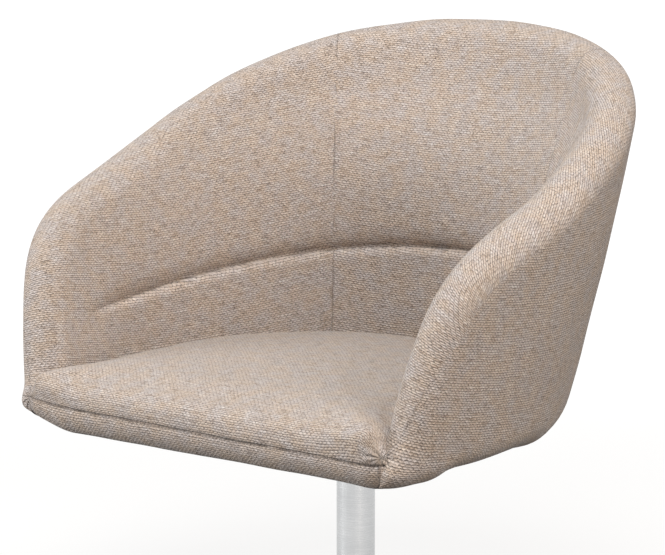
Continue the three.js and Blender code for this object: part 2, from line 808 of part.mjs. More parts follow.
function footGlide(quarter) {
  const hole = studRadius + fitGap;
  const holeFoot = glideHeight - studSeat - fitGap;
  const body = turned([
    [0, 0],
    [glideRadius - glideChamfer, 0],
    [glideRadius, glideChamfer],
    [glideRadius, glideHeight - glideChamfer],
    [glideRadius - glideChamfer, glideHeight],
    [hole, glideHeight],
    [hole, holeFoot],
    [0, holeFoot],
  ], roundSteps - smallSteps);
  return glideAt(quarter, body);
}

function glideStud(quarter) {
  const foot = glideHeight - studSeat;
  return glideAt(quarter, disc(studRadius, foot, foot + studLength, smallSteps));
}

function hubCap() {
  const spigot = boreRadius - fitGap;
  return turned([
    [0, hubFoot - capThickness],
    [capRadius, hubFoot - capThickness],
    [capRadius, hubFoot],
    [spigot, hubFoot],
    [spigot, columnFoot + capSpigot],
    [0, columnFoot + capSpigot],
  ]);
}

// The foot and the column, which stand still
const quarters = [0, 1, 2, 3];
place('star_hub', starHub(), satinSteel);
quarters.forEach(quarter => place(`star_arm_${quarter + 1}`, starArm(quarter), satinSteel));
quarters.forEach(quarter => place(`foot_glide_${quarter + 1}`, footGlide(quarter), blackNylon));
quarters.forEach(quarter => place(`glide_stud_${quarter + 1}`, glideStud(quarter), zincSteel));
place('hub_cap', hubCap(), blackNylon);
place('column_tube', ring(boreRadius, columnRadius, columnFoot, columnTop), satinSteel);
place('upper_bush', upperBush(), paleNylon);
place('lower_bush', ring(
  spindleRadius + fitGap,
  boreRadius - fitGap,
  lowerBushFoot,
  lowerBushFoot + bushLength,
), paleNylon);
place('thrust_washer', ring(
  spindleRadius + fitGap,
  washerRadius,
  washerFoot,
  washerFoot + washerThickness,
), zincSteel);

// The swivel's turning parts
place('spindle', spindle(), zincSteel);
place('spindle_boss', ring(spindleRadius + fitGap, bossRadius, bossFoot, plateFoot), paintedSteel);
quarters.forEach(quarter => place(`plate_gusset_${quarter + 1}`, gusset(quarter), paintedSteel));
place('mounting_plate', mountingPlate(), paintedSteel);
place('retaining_washer', ring(
  retainerScrewRadius + fitGap,
  retainerRadius,
  retainerTop - retainerThickness,
  retainerTop,
), zincSteel);
place('retaining_screw', retainingScrew(), zincSteel);
atCorners(boltSpacing, plateBolt).forEach((bolt, i) => place(`plate_bolt_${i + 1}`, bolt, zincSteel));
atCorners(boltSpacing, teeNut).forEach((nut, i) => place(`tee_nut_${i + 1}`, nut, zincSteel));

// The tub
place('seat_board', seatBoard(), plywood);
place('tub_panel', cut(curvedPanel(), ...panelScrews(fitGap)), plywood);
panelScrews().forEach((screw, i) => place(`panel_screw_${i + 1}`, screw, zincSteel));
place('dust_cover', dustCover(), blackCloth);
place('tub_padding', cut(
  tubPadding(),
  curvedPanel(fitGap),
  lowerBackPad(true),
  boardBlank(0, boardFoot - fitGap, boardTop + fitGap),
), cloth);
place('lower_back_pad', lowerBackPad(), cloth);
place('seat_cushion', cut(seatCushion(), paddingTip(1), paddingTip(-1)), cloth);
place('front_border', cut(frontBorder(), paddingTip(1), paddingTip(-1)), cloth);

export default chair;
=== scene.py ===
# %% [markdown]
# # A padded tub armchair on a steel swivel foot
#
# The chair is a one-sweep padded wall in a heathered tweed, with a crowned seat, on a column that turns.
# The packed CAD model is the frame: every piece below is built in its coordinates, in metres, with +Z up
# and the sitter facing -Y. The steel parts come from it as they are and only get their finish here.
# The soft parts get their real surface here, because cloth has folds and seams that solids can't carry.

# %% Load the frame
import math

import bpy
import numpy as np
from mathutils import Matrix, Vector, noise
from mathutils.kdtree import KDTree


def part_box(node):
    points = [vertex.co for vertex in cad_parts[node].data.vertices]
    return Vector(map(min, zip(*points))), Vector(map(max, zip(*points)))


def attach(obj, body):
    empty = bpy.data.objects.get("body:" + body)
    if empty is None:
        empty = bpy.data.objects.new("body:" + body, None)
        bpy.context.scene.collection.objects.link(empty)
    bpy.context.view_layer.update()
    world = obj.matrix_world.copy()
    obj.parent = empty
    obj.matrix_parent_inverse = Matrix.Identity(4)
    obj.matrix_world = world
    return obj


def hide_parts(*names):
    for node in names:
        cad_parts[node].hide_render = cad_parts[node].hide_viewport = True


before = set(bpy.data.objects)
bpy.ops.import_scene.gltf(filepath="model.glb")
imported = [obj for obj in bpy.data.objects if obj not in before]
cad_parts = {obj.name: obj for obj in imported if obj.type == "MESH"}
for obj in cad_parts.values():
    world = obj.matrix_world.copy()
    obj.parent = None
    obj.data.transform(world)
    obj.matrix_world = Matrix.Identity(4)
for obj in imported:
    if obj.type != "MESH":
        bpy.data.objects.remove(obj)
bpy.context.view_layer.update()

scene = bpy.context.scene

# %% [markdown]
# ## The camera
#
# A long lens from slightly above keeps the chair's verticals upright, as product photographs do.
# The view's direction, distance and lens were worked out from the outline in the photograph.
# The picture's middle lies lower and further right than the point that was aimed at, so the camera
# is turned towards that middle. That needs no lens shift, so every other view stays centred too.

# %% Camera
IMAGE_WIDTH = 665
IMAGE_MIDDLE = np.array([332.5, 277.5])
AIM_PIXEL = np.array([305.7, 240.2])
AIM_POINT = np.array([0, -0.1035, 0.555])
VIEW_AZIMUTH = math.radians(38.59)
VIEW_ELEVATION = math.radians(8.61)
VIEW_DISTANCE = 3.521
LENS_PIXELS = 2819
SENSOR_MM = 36


def unit(vectors):
    return vectors / np.linalg.norm(vectors, axis=-1, keepdims=True)


def add_camera():
    level = math.cos(VIEW_ELEVATION)
    x, y = math.sin(VIEW_AZIMUTH) * level, -math.cos(VIEW_AZIMUTH) * level
    back = np.array([x, y, math.sin(VIEW_ELEVATION)])
    right = unit(np.cross(-back, [0, 0, 1]))
    up = np.cross(right, -back)
    eye = AIM_POINT + back * VIEW_DISTANCE
    across, down = (IMAGE_MIDDLE - AIM_PIXEL) / LENS_PIXELS * VIEW_DISTANCE
    looked_at = AIM_POINT + right * across - up * down
    data = bpy.data.cameras.new("camera")
    data.sensor_width = SENSOR_MM
    data.lens = LENS_PIXELS / IMAGE_WIDTH * SENSOR_MM
    camera = bpy.data.objects.new("camera", data)
    camera.location = eye
    camera.rotation_euler = Vector(looked_at - eye).to_track_quat("-Z", "Y").to_euler()
    scene.collection.objects.link(camera)
    scene.camera = camera
    return camera


print("lens", round(add_camera().data.lens, 1), "mm")

# %% [markdown]
# ## Expressions that build nodes
#
# A material is a small program. Written node by node it is long and hard to read, so one class wraps
# a node's output and lets Python's operators add the Math nodes: `1 - mask * 2` becomes two nodes.
# Every other node comes from one method, which sets the node's settings first and its inputs next.

# %% Node maths
class Net:
    """A node tree that nodes are added to."""

    def __init__(self, tree):
        self.tree = tree

    def node(self, kind, settings=None, inputs=None, output=0):
        node = self.tree.nodes.new(kind)
        for name, value in (settings or {}).items():
            if name == "stops":
                set_stops(node.color_ramp, value)
            else:
                setattr(node, name, value)
        for name, value in (inputs or {}).items():
            self.feed(node.inputs[name], value)
        return Output(self, node, node.outputs[output]) if len(node.outputs) else node

    def feed(self, socket, value):
        if isinstance(value, Output):
            self.tree.links.new(value.socket, socket)
        else:
            socket.default_value = value

    def maths(self, operation, *values):
        return self.node("ShaderNodeMath", {"operation": operation}, dict(enumerate(values)))

    def vector_maths(self, operation, *values):
        return self.node("ShaderNodeVectorMath", {"operation": operation}, dict(enumerate(values)))

    def join(self, x, y, z=0.0):
        return self.node("ShaderNodeCombineXYZ", None, {"X": x, "Y": y, "Z": z})

    def part(self, place, axis):
        return self.node("ShaderNodeSeparateXYZ", None, {"Vector": place}, axis)

    def attribute(self, name):
        return self.node("ShaderNodeAttribute", {"attribute_name": name}, None, "Fac")


def operator(operation, reflected=False):
    """A method that adds one Math node to an output."""

    def method(self, *others):
        values = (*others, self) if reflected else (self, *others)
        return self.net.maths(operation, *values)

    return method


class Output:
    """One output of a node. Operators on it add Math nodes."""

    __add__ = __radd__ = operator("ADD")
    __sub__ = operator("SUBTRACT")
    __rsub__ = operator("SUBTRACT", reflected=True)
    __mul__ = __rmul__ = operator("MULTIPLY")
    __truediv__ = operator("DIVIDE")
    floor = operator("FLOOR")
    fraction = operator("FRACT")
    absolute = operator("ABSOLUTE")
    sine = operator("SINE")
    modulo = operator("FLOORED_MODULO")
    above = operator("GREATER_THAN")
    greater = operator("MAXIMUM")
    power = operator("POWER")

    def __init__(self, net, node, socket):
        self.net = net
        self.owner = node
        self.socket = socket

    def out(self, name):
        return Output(self.net, self.owner, self.owner.outputs[name])

    def spread(self, low, high):
        """Maps low..high smoothly on to 0..1."""
        values = {"Value": self, "From Min": low, "From Max": high}
        return self.net.node("ShaderNodeMapRange", {"interpolation_type": "SMOOTHSTEP"}, values)


print("operators", sum(callable(value) for value in vars(Output).values()))


# %% Material helpers
def set_stops(ramp, stops):
    while len(ramp.elements) > 1:
        ramp.elements.remove(ramp.elements[-1])
    for i, (place, colour) in enumerate(stops):
        element = ramp.elements[0] if i == 0 else ramp.elements.new(place)
        element.position = place
        element.color = colour


def linear(red, green, blue):
    """A colour as seen on a screen, 0 to 255, as the shader's own linear values, by the sRGB rule."""
    shares = [c / 255 for c in (red, green, blue)]
    return tuple(c / 12.92 if c <= 0.04045 else ((c + 0.055) / 1.055) ** 2.4 for c in shares) + (1.0,)


def new_material(name):
    material = bpy.data.materials.new(name)
    material.use_nodes = True
    material.node_tree.nodes.clear()
    return material, Net(material.node_tree)


def finish_material(net, base, roughness, bump=None, **constants):
    """Ends a material: a Principled shader with a bump of (height, depth in metres)."""
    inputs = {"Base Color": base, "Roughness": roughness, **constants}
    if bump is not None:
        height, depth = bump
        inputs["Normal"] = net.node("ShaderNodeBump", None, {"Height": height, "Distance": depth})
    shader = net.node("ShaderNodeBsdfPrincipled", None, inputs)
    net.node("ShaderNodeOutputMaterial", None, {"Surface": shader})


def mix_colour(net, factor, first, second, how="MIX"):
    settings = {"data_type": "RGBA", "blend_type": how}
    return net.node("ShaderNodeMix", settings, {0: factor, 6: first, 7: second}, 2)


def object_place(net):
    return net.node("ShaderNodeTexCoord", None, None, "Object")


print("white is", linear(255, 255, 255))

# %% [markdown]
# ## Studio light and floor
#
# The chair stands on a pale floor in soft light: a low wide box on either side of the camera, a higher one
# at the sitter's left and one above, and a dim dome all round. The two at the sitter's left are slightly
# warm, like the shaded side of the chair in the photograph. Low lamps from both sides leave the hollow
# behind the seat darker than the rims, as in the photograph. The floor gives little light back, because
# a bright one would light the chair from below and flatten it.
# The white behind the chair isn't made by stronger lamps, which would wash out the cloth. The world and
# the floor show white to camera, glossy and see-through rays only, and the floor keeps the chair's shadow.

# %% Light and floor
DOME_STRENGTH = 0.29
FLOOR_RADIUS, FLOOR_SIDES = 60.0, 64
FLOOR_WHITE_SHARE = 0.72
FLOOR_WHITE = 1.1
SHADOW_REACH = (1.0, 2.4)
FLOOR_COLOUR = linear(236, 234, 231)
FLOOR_BOUNCE = linear(60, 59, 58)
WHITE_LIGHT = (1.0, 1.0, 1.0)
WARM_LIGHT = (1.0, 0.91, 0.83)
# Each lamp: where it stands round the chair, how high up, how far away, its side, its power and its colour
LAMPS = {
    "low_left_box": (math.radians(-45), math.radians(8), 3.0, 1.4, 62, WHITE_LIGHT),
    "low_right_box": (math.radians(60), math.radians(8), 3.0, 1.4, 27, WARM_LIGHT),
    "side_box": (math.radians(95), math.radians(30), 3.0, 1.6, 31, WARM_LIGHT),
    "top_box": (math.radians(30), math.radians(62), 3.0, 1.6, 74, WHITE_LIGHT),
}
LAMP_AIM = Vector((0, 0, 0.5))


def seen_directly(net):
    """1 for camera, glossy and transmission rays, 0 for the rays that carry soft light."""
    path = net.node("ShaderNodeLightPath", None, None, "Is Camera Ray")
    return path.greater(path.out("Is Glossy Ray")).greater(path.out("Is Transmission Ray"))


def light_world():
    world = bpy.data.worlds.new("studio")
    scene.world = world
    world.use_nodes = True
    world.node_tree.nodes.clear()
    net = Net(world.node_tree)
    strength = DOME_STRENGTH + seen_directly(net) * (1 - DOME_STRENGTH)
    dome = net.node("ShaderNodeBackground", None, {"Color": (1, 1, 1, 1), "Strength": strength})
    net.node("ShaderNodeOutputWorld", None, {"Surface": dome})


def add_lamp(name, azimuth, elevation, distance, side, power, colour):
    data = bpy.data.lights.new(name, "AREA")
    data.size = side
    data.energy = power
    data.color = colour
    lamp = bpy.data.objects.new(name, data)
    level = math.cos(elevation)
    away = Vector((math.sin(azimuth) * level, -math.cos(azimuth) * level, math.sin(elevation)))
    lamp.location = LAMP_AIM + away * distance
    lamp.rotation_euler = (-away).to_track_quat("-Z", "Y").to_euler()
    scene.collection.objects.link(lamp)


def add_floor():
    bpy.ops.mesh.primitive_circle_add(vertices=FLOOR_SIDES, radius=FLOOR_RADIUS, fill_type="NGON")
    floor = bpy.context.active_object
    floor.name = "floor"
    material, net = new_material("pale_floor")
    lit = net.node("ShaderNodeBsdfDiffuse", None, {"Color": FLOOR_COLOUR})
    white = net.node("ShaderNodeEmission", None, {"Color": (1, 1, 1, 1), "Strength": FLOOR_WHITE})
    far = net.vector_maths("LENGTH", object_place(net)).out("Value").spread(*SHADOW_REACH)
    share = FLOOR_WHITE_SHARE + far * (1 - FLOOR_WHITE_SHARE)
    shown = net.node("ShaderNodeMixShader", None, {0: share, 1: lit, 2: white})
    bounce = net.node("ShaderNodeBsdfDiffuse", None, {"Color": FLOOR_BOUNCE})
    mixed = net.node("ShaderNodeMixShader", None, {0: seen_directly(net), 1: bounce, 2: shown})
    net.node("ShaderNodeOutputMaterial", None, {"Surface": mixed})
    floor.data.materials.append(material)


light_world()
for lamp_name, lamp_facts in LAMPS.items():
    add_lamp(lamp_name, *lamp_facts)
add_floor()
scene.view_settings.view_transform = "Standard"
print("lamps", len(LAMPS))

# %% [markdown]
# ## The tweed
#
# The cloth is a chunky plain weave of mixed yarns: beige, tan, pale grey and off-white, with a few dark
# nubs. A photograph of cloth would be the usual way, but a pattern from maths stays sharp at any size
# and follows each panel. The UV map is in real metres, so it counts threads. Along each row the thread
# rises over one upright thread and dips under the next, and every other row does it the other way round.
# Where it dips, the upright thread shows as a small dot, darkened with painted shade where it sinks into the
# gap.
# Noise stretched along each thread gives the yarn's colour, and slow noise over the whole cloth gives the
# patches of warmer and greyer wool.

# %% Tweed sizes and colours
THREAD_PITCH = 0.0029
WEAVE_DEPTH = 0.0010
STITCH_WIDTH = (0.0003, 0.0022)
# Noises on the cloth, each as its changes for each metre and its seed: wobbling threads and the whole
# cloth's drift, both ways, then lumpy yarn, patches of colour, dark nubs and single fibres
ACROSS_NOISES, UPWARD_NOISES = ((190, 3), (22, 9)), ((190, 5), (22, 1))
LUMPS, PATCHES, NUBS, FIBRES = (400, 21), (42, 7), (230, 13), (1500, 17)
WEFT_SEED, WARP_SEED = 0, 41
ACROSS_WOBBLE, UPWARD_WOBBLE, DRIFT_THREADS = 0.6, 0.45, 0.9
WEFT_LEVEL, WEFT_SWING, WARP_SWING, LUMP_HEIGHT = 0.74, 0.26, 0.24, 0.42
YARN_STRETCH, THREAD_SHIFT, YARN_ROUGHNESS, YARN_CONTRAST = 0.2, 0.731, 0.7, 1.15
PATCH_RANGE, NUB_RANGE, GAP_SHADE_RANGE = (-0.22, 0.22), (0.28, 0.32), (0.16, 0.65)
# The seam's strength and colour are painted shade along the seams' grooves
NUB_STRENGTH, SEAM_SHADE_STRENGTH = 0.7, 0.4
FIBRE_RELIEF, YARN_RELIEF, SEAM_RELIEF, PUCKER_RELIEF = 0.35, 0.3, 1.1, 1.2
SHEEN = {"Sheen Weight": 0.2, "Sheen Roughness": 0.5, "Specular IOR Level": 0.15}
CLOTH_ROUGHNESS = 0.92
YARN_STOPS = [
    (0.2, linear(160, 146, 135)),
    (0.36, linear(188, 174, 162)),
    (0.46, linear(198, 184, 173)),
    (0.56, linear(196, 185, 177)),
    (0.68, linear(207, 196, 187)),
    (0.85, linear(215, 207, 200)),
]
WARM_TINT, COOL_TINT = linear(255, 249, 242), linear(250, 251, 255)
# The gap colour is painted shade: it darkens the gaps between the yarns, where shade falls
GAP_SHADE_COLOUR, NUB_COLOUR, SEAM_SHADE_COLOUR = linear(50, 42, 37), linear(92, 79, 72), linear(104, 89, 80)
PUCKER_POINT = (0.278, -0.319, 0.354)
PUCKER_COUNT = 10
PUCKER_EYE, PUCKER_REACH = (0.002, 0.006), (0.008, 0.028)


print("threads in each metre", round(1 / THREAD_PITCH))


# %% Tweed material
def yarn_noise(net, along, thread, seed):
    """Noise that runs along a thread and changes from one thread to the next."""
    place = net.join(along * YARN_STRETCH, thread * THREAD_SHIFT + seed)
    values = {"Vector": place, "Scale": 1.0, "Detail": 2.0, "Roughness": YARN_ROUGHNESS}
    return net.node("ShaderNodeTexNoise", {"noise_dimensions": "2D"}, values)


def wandering(net, place, scale, seed):
    """A slow noise from -0.5 to 0.5 on the UV map."""
    moved = net.vector_maths("ADD", place, (seed, seed, 0))
    values = {"Vector": moved, "Scale": scale, "Detail": 1.0}
    return net.node("ShaderNodeTexNoise", {"noise_dimensions": "2D"}, values) - 0.5


def panel_place(net):
    """The place on the cloth: from the map "cloth", or beyond a panel's edge from the map "cloth_beyond"."""
    near = net.node("ShaderNodeUVMap", {"uv_map": "cloth"})
    far = net.node("ShaderNodeUVMap", {"uv_map": "cloth_beyond"})
    choice = {0: net.attribute("beyond").above(0), 4: near, 5: far}
    return net.node("ShaderNodeMix", {"data_type": "VECTOR"}, choice, 1)


def puckers(net):
    """Small gathers that run out from the point where seat, border and arm are sewn together."""
    place = net.part(object_place(net), "X")
    x = place.absolute() - PUCKER_POINT[0]
    y = place.out("Y") - PUCKER_POINT[1]
    z = place.out("Z") - PUCKER_POINT[2]
    reach = net.vector_maths("LENGTH", net.join(x, y, z)).out("Value")
    lobes = (net.maths("ARCTAN2", z, x) * PUCKER_COUNT).sine()
    return lobes * reach.spread(*PUCKER_EYE) * (1 - reach.spread(*PUCKER_REACH))


def thread_count(net, place, length, noises, wobble):
    """Counts the threads along one way of the cloth. They wobble, and the whole cloth drifts a little."""
    near, far = (wandering(net, place, *facts) for facts in noises)
    return length / THREAD_PITCH + near * wobble + far * DRIFT_THREADS


def weave(across, upward):
    """The heights of the weft, which runs across, and of the warp, which runs up."""
    swing = ((across + upward.floor()) * math.pi).sine()
    weft = (upward.fraction() * math.pi).sine().power(0.5) * (WEFT_LEVEL + swing * WEFT_SWING)
    return weft, (1 - swing) * WARP_SWING


def yarn_shade(net, across, upward, weft_shows):
    """The shade of the thread that shows, from about 0 for the darkest wool to 1 for the palest."""
    weft_yarn = yarn_noise(net, across, upward.floor(), WEFT_SEED)
    warp_yarn = yarn_noise(net, upward, across.floor(), WARP_SEED)
    shade = weft_yarn * weft_shows + warp_yarn * (1 - weft_shows)
    return (shade - 0.5) * YARN_CONTRAST + 0.5


def wool_colour(net, place, shade):
    """The yarn's colour, with slow patches of warmer and greyer wool and a few dark nubs."""
    yarn = net.node("ShaderNodeValToRGB", {"stops": YARN_STOPS}, {"Fac": shade})
    heather = wandering(net, place, *PATCHES).spread(*PATCH_RANGE)
    tinted = mix_colour(net, 1.0, yarn, mix_colour(net, heather, WARM_TINT, COOL_TINT), "MULTIPLY")
    nub = wandering(net, place, *NUBS).spread(*NUB_RANGE)
    return mix_colour(net, nub * NUB_STRENGTH, tinted, NUB_COLOUR)


def tweed_material():
    material, net = new_material("tweed")
    place = panel_place(net)
    length = net.part(place, "X")
    across = thread_count(net, place, length, ACROSS_NOISES, ACROSS_WOBBLE)
    upward = thread_count(net, place, length.out("Y"), UPWARD_NOISES, UPWARD_WOBBLE)
    weft, warp = weave(across, upward)
    height = weft.greater(warp) + wandering(net, place, *LUMPS) * LUMP_HEIGHT
    shade = yarn_shade(net, across, upward, weft.above(warp))
    # Painted shade: the gaps between the yarns are darkened in the colour itself
    shaded = mix_colour(net, 1 - height.spread(*GAP_SHADE_RANGE), wool_colour(net, place, shade), GAP_SHADE_COLOUR)
    seam = 1 - net.attribute("seam").absolute().spread(*STITCH_WIDTH)
    # Painted shade: each seam's groove is darkened in the colour itself
    seam_shaded = mix_colour(net, seam * SEAM_SHADE_STRENGTH, shaded, SEAM_SHADE_COLOUR)
    relief = height + wandering(net, place, *FIBRES) * FIBRE_RELIEF + shade * YARN_RELIEF
    sewn_relief = relief - seam * SEAM_RELIEF + puckers(net) * PUCKER_RELIEF
    finish_material(net, seam_shaded, CLOTH_ROUGHNESS, (sewn_relief, WEAVE_DEPTH), **SHEEN)
    return material


tweed = tweed_material()
print("tweed nodes", len(tweed.node_tree.nodes))

# %% [markdown]
# ## Metal, nylon, plywood and lining
#
# These finishes go on the CAD solids. None of them is one flat colour: turned steel has fine rings round
# its axis, satin steel a fine grain, zinc a cloudy bluish bloom, powder coat a soft orange peel, moulded
# nylon a fine grain, and plywood has darker bands where its plies show.

# %% Finishes for the CAD solids
TONE_STOPS = (0.3, 0.7)
# What each kind of finish has, under the names that the function called grained gives them
STEEL = {"detail": 3.0, "sharpness": 0.7, "cloud": 14, "share": 0.6, "sways": (0.16, 0.1), "depth": 0.00006}
NYLON = {"fine": (1400,) * 3, "detail": 2.0, "cloud": 40, "share": 0.3, "sways": (0, 0.15), "depth": 0.00008}
COAT = {"fine": (900,) * 3, "detail": 1.0, "cloud": 30, "share": 0.7, "sways": (0.2, 0), "depth": 0.00012}
PLY_THICKNESS = 0.0015
PLY_TONES, PLY_GLUE = ((188, 150, 106), (216, 184, 142)), linear(150, 110, 70)
PLY_STRETCH, PLY_NOISE = (9, 160, 160), (1.0, 4.0, 0.6)
PLY_DARKNESS, PLY_ROUGHNESS, PLY_SWAY = 0.35, 0.6, 0.2
LINING_TONES = ((17, 17, 18), (40, 40, 42))
LINING_NOISE = (700.0, 3.0, 0.8)
LINING_DOTS, LINING_DOT_RANGE, LINING_DISORDER = (320, 320, 0), (0.1, 0.3), 0.15
LINING_SHARE, LINING_DOT_RELIEF, LINING_ROUGHNESS = 0.6, 0.6, 0.9
CUT_DEPTH = 0.0002


def noise_at(net, place, scale, detail=2.0, roughness=0.5):
    inputs = {"Vector": place, "Scale": scale, "Detail": detail, "Roughness": roughness}
    return net.node("ShaderNodeTexNoise", None, inputs)


def stretched(net, place, scales):
    return net.vector_maths("MULTIPLY", place, scales)


def two_tones(net, share, dark, pale):
    """A colour between two screen colours."""
    stops = [(place, linear(*tone)) for place, tone in zip(TONE_STOPS, (dark, pale))]
    return net.node("ShaderNodeValToRGB", {"stops": stops}, {"Fac": share})


def grained(name, dark, pale, roughness, fine, cloud, share, sways, depth, detail, sharpness=0.5, **others):
    """A finish with a fine grain, which is also its relief, and a slow cloud. Both sway its roughness."""
    material, net = new_material(name)
    place = object_place(net)
    grain = noise_at(net, stretched(net, place, fine), 1.0, detail, sharpness)
    clouds = noise_at(net, place, cloud)
    base = two_tones(net, grain * share + clouds * (1 - share), dark, pale)
    rough = roughness + (grain - 0.5) * sways[0] + (clouds - 0.5) * sways[1]
    finish_material(net, base, rough, (grain, depth), **others)
    return material


def steel(name, dark, pale, roughness, fine):
    return grained(name, dark, pale, roughness, fine, Metallic=1.0, **STEEL)


def plywood():
    material, net = new_material("birch_plywood")
    place = object_place(net)
    grain = noise_at(net, stretched(net, place, PLY_STRETCH), *PLY_NOISE)
    ply = (net.part(place, "Z") / PLY_THICKNESS).floor().modulo(2).above(0.5)
    face = two_tones(net, grain, *PLY_TONES)
    banded = mix_colour(net, ply * PLY_DARKNESS, face, PLY_GLUE)
    finish_material(net, banded, PLY_ROUGHNESS + (grain - 0.5) * PLY_SWAY, (grain, CUT_DEPTH))
    return material


def lining():
    """Black non-woven cloth, bonded in small dots."""
    material, net = new_material("black_lining")
    place = object_place(net)
    fibres = noise_at(net, place, *LINING_NOISE)
    values = {"Vector": stretched(net, place, LINING_DOTS), "Scale": 1.0, "Randomness": LINING_DISORDER}
    dot = net.node("ShaderNodeTexVoronoi", {"feature": "F1"}, values).spread(*LINING_DOT_RANGE)
    base = two_tones(net, fibres * LINING_SHARE + dot * (1 - LINING_SHARE), *LINING_TONES)
    finish_material(net, base, LINING_ROUGHNESS, (fibres + dot * LINING_DOT_RELIEF, CUT_DEPTH))
    return material


print("finishes defined")

# %% Which finish each solid gets
satin_steel = steel("satin_steel", (176, 178, 180), (206, 207, 208), 0.3, (500, 500, 500))
turned_steel = steel("turned_steel", (178, 180, 182), (208, 209, 210), 0.26, (30, 30, 1800))
zinc_steel = steel("zinc_steel", (140, 146, 152), (188, 192, 196), 0.42, (220, 220, 220))
black_coat = grained("powder_coat", (36, 37, 39), (52, 53, 55), 0.42, **COAT)
black_nylon = grained("black_nylon", (20, 20, 21), (34, 34, 35), 0.5, **NYLON)
pale_nylon = grained("pale_nylon", (222, 216, 202), (236, 232, 220), 0.45, **NYLON)
ZINC_FAMILIES = ("glide_stud", "thrust_washer", "spindle", "plate_bolt", "tee_nut", "panel_screw")
FINISHES = {
    satin_steel: ("star_arm",),
    turned_steel: ("star_hub", "column_tube"),
    zinc_steel: (*ZINC_FAMILIES, "retaining_washer", "retaining_screw"),
    black_coat: ("spindle_boss", "plate_gusset", "mounting_plate"),
    black_nylon: ("foot_glide", "hub_cap"),
    pale_nylon: ("upper_bush", "lower_bush"),
    plywood(): ("seat_board", "tub_panel"),
    lining(): ("dust_cover",),
    tweed: ("tub_padding", "lower_back_pad", "seat_cushion", "front_border"),
}
finish_of = {family: material for material, families in FINISHES.items() for family in families}


def family_of(node_name):
    """The node's name without its number."""
    return node_name.rstrip("0123456789").rstrip("_")


for node_name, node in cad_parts.items():
    node.data.materials.clear()
    node.data.materials.append(finish_of[family_of(node_name)])
print("finished nodes", len(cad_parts))

# %% [markdown]
# ## The wall as a formula
#
# The padded wall follows one rule, so it is worked out rather than sculpted: a plan curve that grows from
# the foot to the top, and a crest that falls from the back to the arms and down to the seat's corners.
# These are the same sizes and shares that the solids are made from, so the cloth fits over them.
# Angles run from the middle of the back to an arm's tip, heights from the tub's underside.

# %% Sizes of the tub
BOARD_LOW, BOARD_HIGH = (np.array(corner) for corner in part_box("seat_board"))
BOARD_FOOT = 0.010
UNDERSIDE = BOARD_LOW[2] - BOARD_FOOT
BOARD_TOP = BOARD_HIGH[2] - UNDERSIDE
TUB_HEIGHT = 0.494
TUB_RADIUS = 0.400
AXIS_SETBACK = 0.1035
WALL_HALF = 0.0615 / 2
ARM_SWEEP = math.radians(126)
FRONT_LEAD = 0.027
FOOT_RADIUS_SHARES = [0.76, 0.762, 0.705, 0.724, 0.755, 0.83]
TOP_RADIUS_SHARES = [0.998, 1.02, 1.007, 0.913, 0.889, 0.976]
WALL_BULGE_SHARE = 0.295
CREST_ANGLE_SHARES = [0, 0.127, 0.28, 0.452, 0.598, 0.698, 0.907, 0.973, 1]
CREST_HEIGHT_SHARES = [1, 0.99, 0.944, 0.823, 0.7, 0.624, 0.528, 0.24, 0.027]
CREST_ARC = 0.875 * TUB_RADIUS
BACK_TUCK_HEIGHT, BACK_TUCK_DEPTH = 0.073, 0.060
TIP_TUCK_HEIGHT, TIP_TUCK_DEPTH = 0.026, 0.050
FOLD_BACK_HEIGHT, FOLD_TIP_HEIGHT = 0.188, 0.124
FOLD_ROLL, FOLD_ROLL_HEIGHT = 0.013, 0.210
SEAT_CREASE = 0.072
SEAT_CROWN = 0.017
FRONT_ROLL = 0.027
CORNER_ROLL = 0.011
NORMAL_TURN = 2e-3


def lerp(a, b, share):
    return a + (b - a) * share


def bell(value, reach):
    """1 at zero, fading on both sides within a reach."""
    return np.exp(-((value / reach) ** 2))


def rounding(share):
    """How far a quarter circle has fallen away, from 0 at its start to 1 at its end."""
    return 1 - np.sqrt(1 - share**2)


def turned_right(ways):
    """Each direction turned a quarter clockwise."""
    return np.stack([ways[..., 1], -ways[..., 0]], axis=-1)


def run_along(points):
    """The distance travelled along each line of points, from its first point."""
    steps = np.linalg.norm(np.diff(points, axis=0), axis=-1)
    return np.concatenate([0 * steps[:1], np.cumsum(steps, axis=0)])


def bent_line(start, first, second, end, t):
    """A cubic curve between two points that is pulled towards two others."""
    return (1 - t) ** 3 * start + 3 * t * (1 - t) ** 2 * first + 3 * t**2 * (1 - t) * second + t**3 * end


def smooth(value, low=0.0, high=1.0):
    share = np.clip((value - low) / (high - low), 0, 1)
    return share * share * (3 - 2 * share)


def spline(values, share, turned_start=False):
    """A uniform cubic spline, mirrored at its first value or turned about it."""
    last = len(values) - 1
    start = -values[1] if turned_start else values[1]
    padded = np.array([start, *values, 2 * values[-1] - values[-2]])
    along = np.clip(share, 0, 1) * last
    k = np.minimum(np.floor(along).astype(int), last - 1)
    t = along - k
    weights = [(1 - t) ** 3, 3 * t**3 - 6 * t**2 + 4, -3 * t**3 + 3 * t**2 + 3 * t + 1, t**3]
    return sum(weight * padded[k + i] for i, weight in enumerate(weights)) / 6


def crest_at(side):
    """Angle and height of the crest, from -1 at one arm's tip to 1 at the other's."""
    away = np.abs(side)
    angle = np.sign(side) * ARM_SWEEP * spline(CREST_ANGLE_SHARES, away, True)
    return angle, TUB_HEIGHT * spline(CREST_HEIGHT_SHARES, away)


def middle(angle, height):
    """A point of the wall's middle surface."""
    share = np.abs(angle) / ARM_SWEEP
    rise = height / TUB_HEIGHT
    swollen = rise + WALL_BULGE_SHARE * rise * (1 - rise)
    radius = TUB_RADIUS * lerp(spline(FOOT_RADIUS_SHARES, share), spline(TOP_RADIUS_SHARES, share), swollen)
    x = np.sin(angle) * radius
    y = np.cos(angle) * radius - AXIS_SETBACK
    return np.stack([x, y, UNDERSIDE + height + 0 * x], axis=-1)


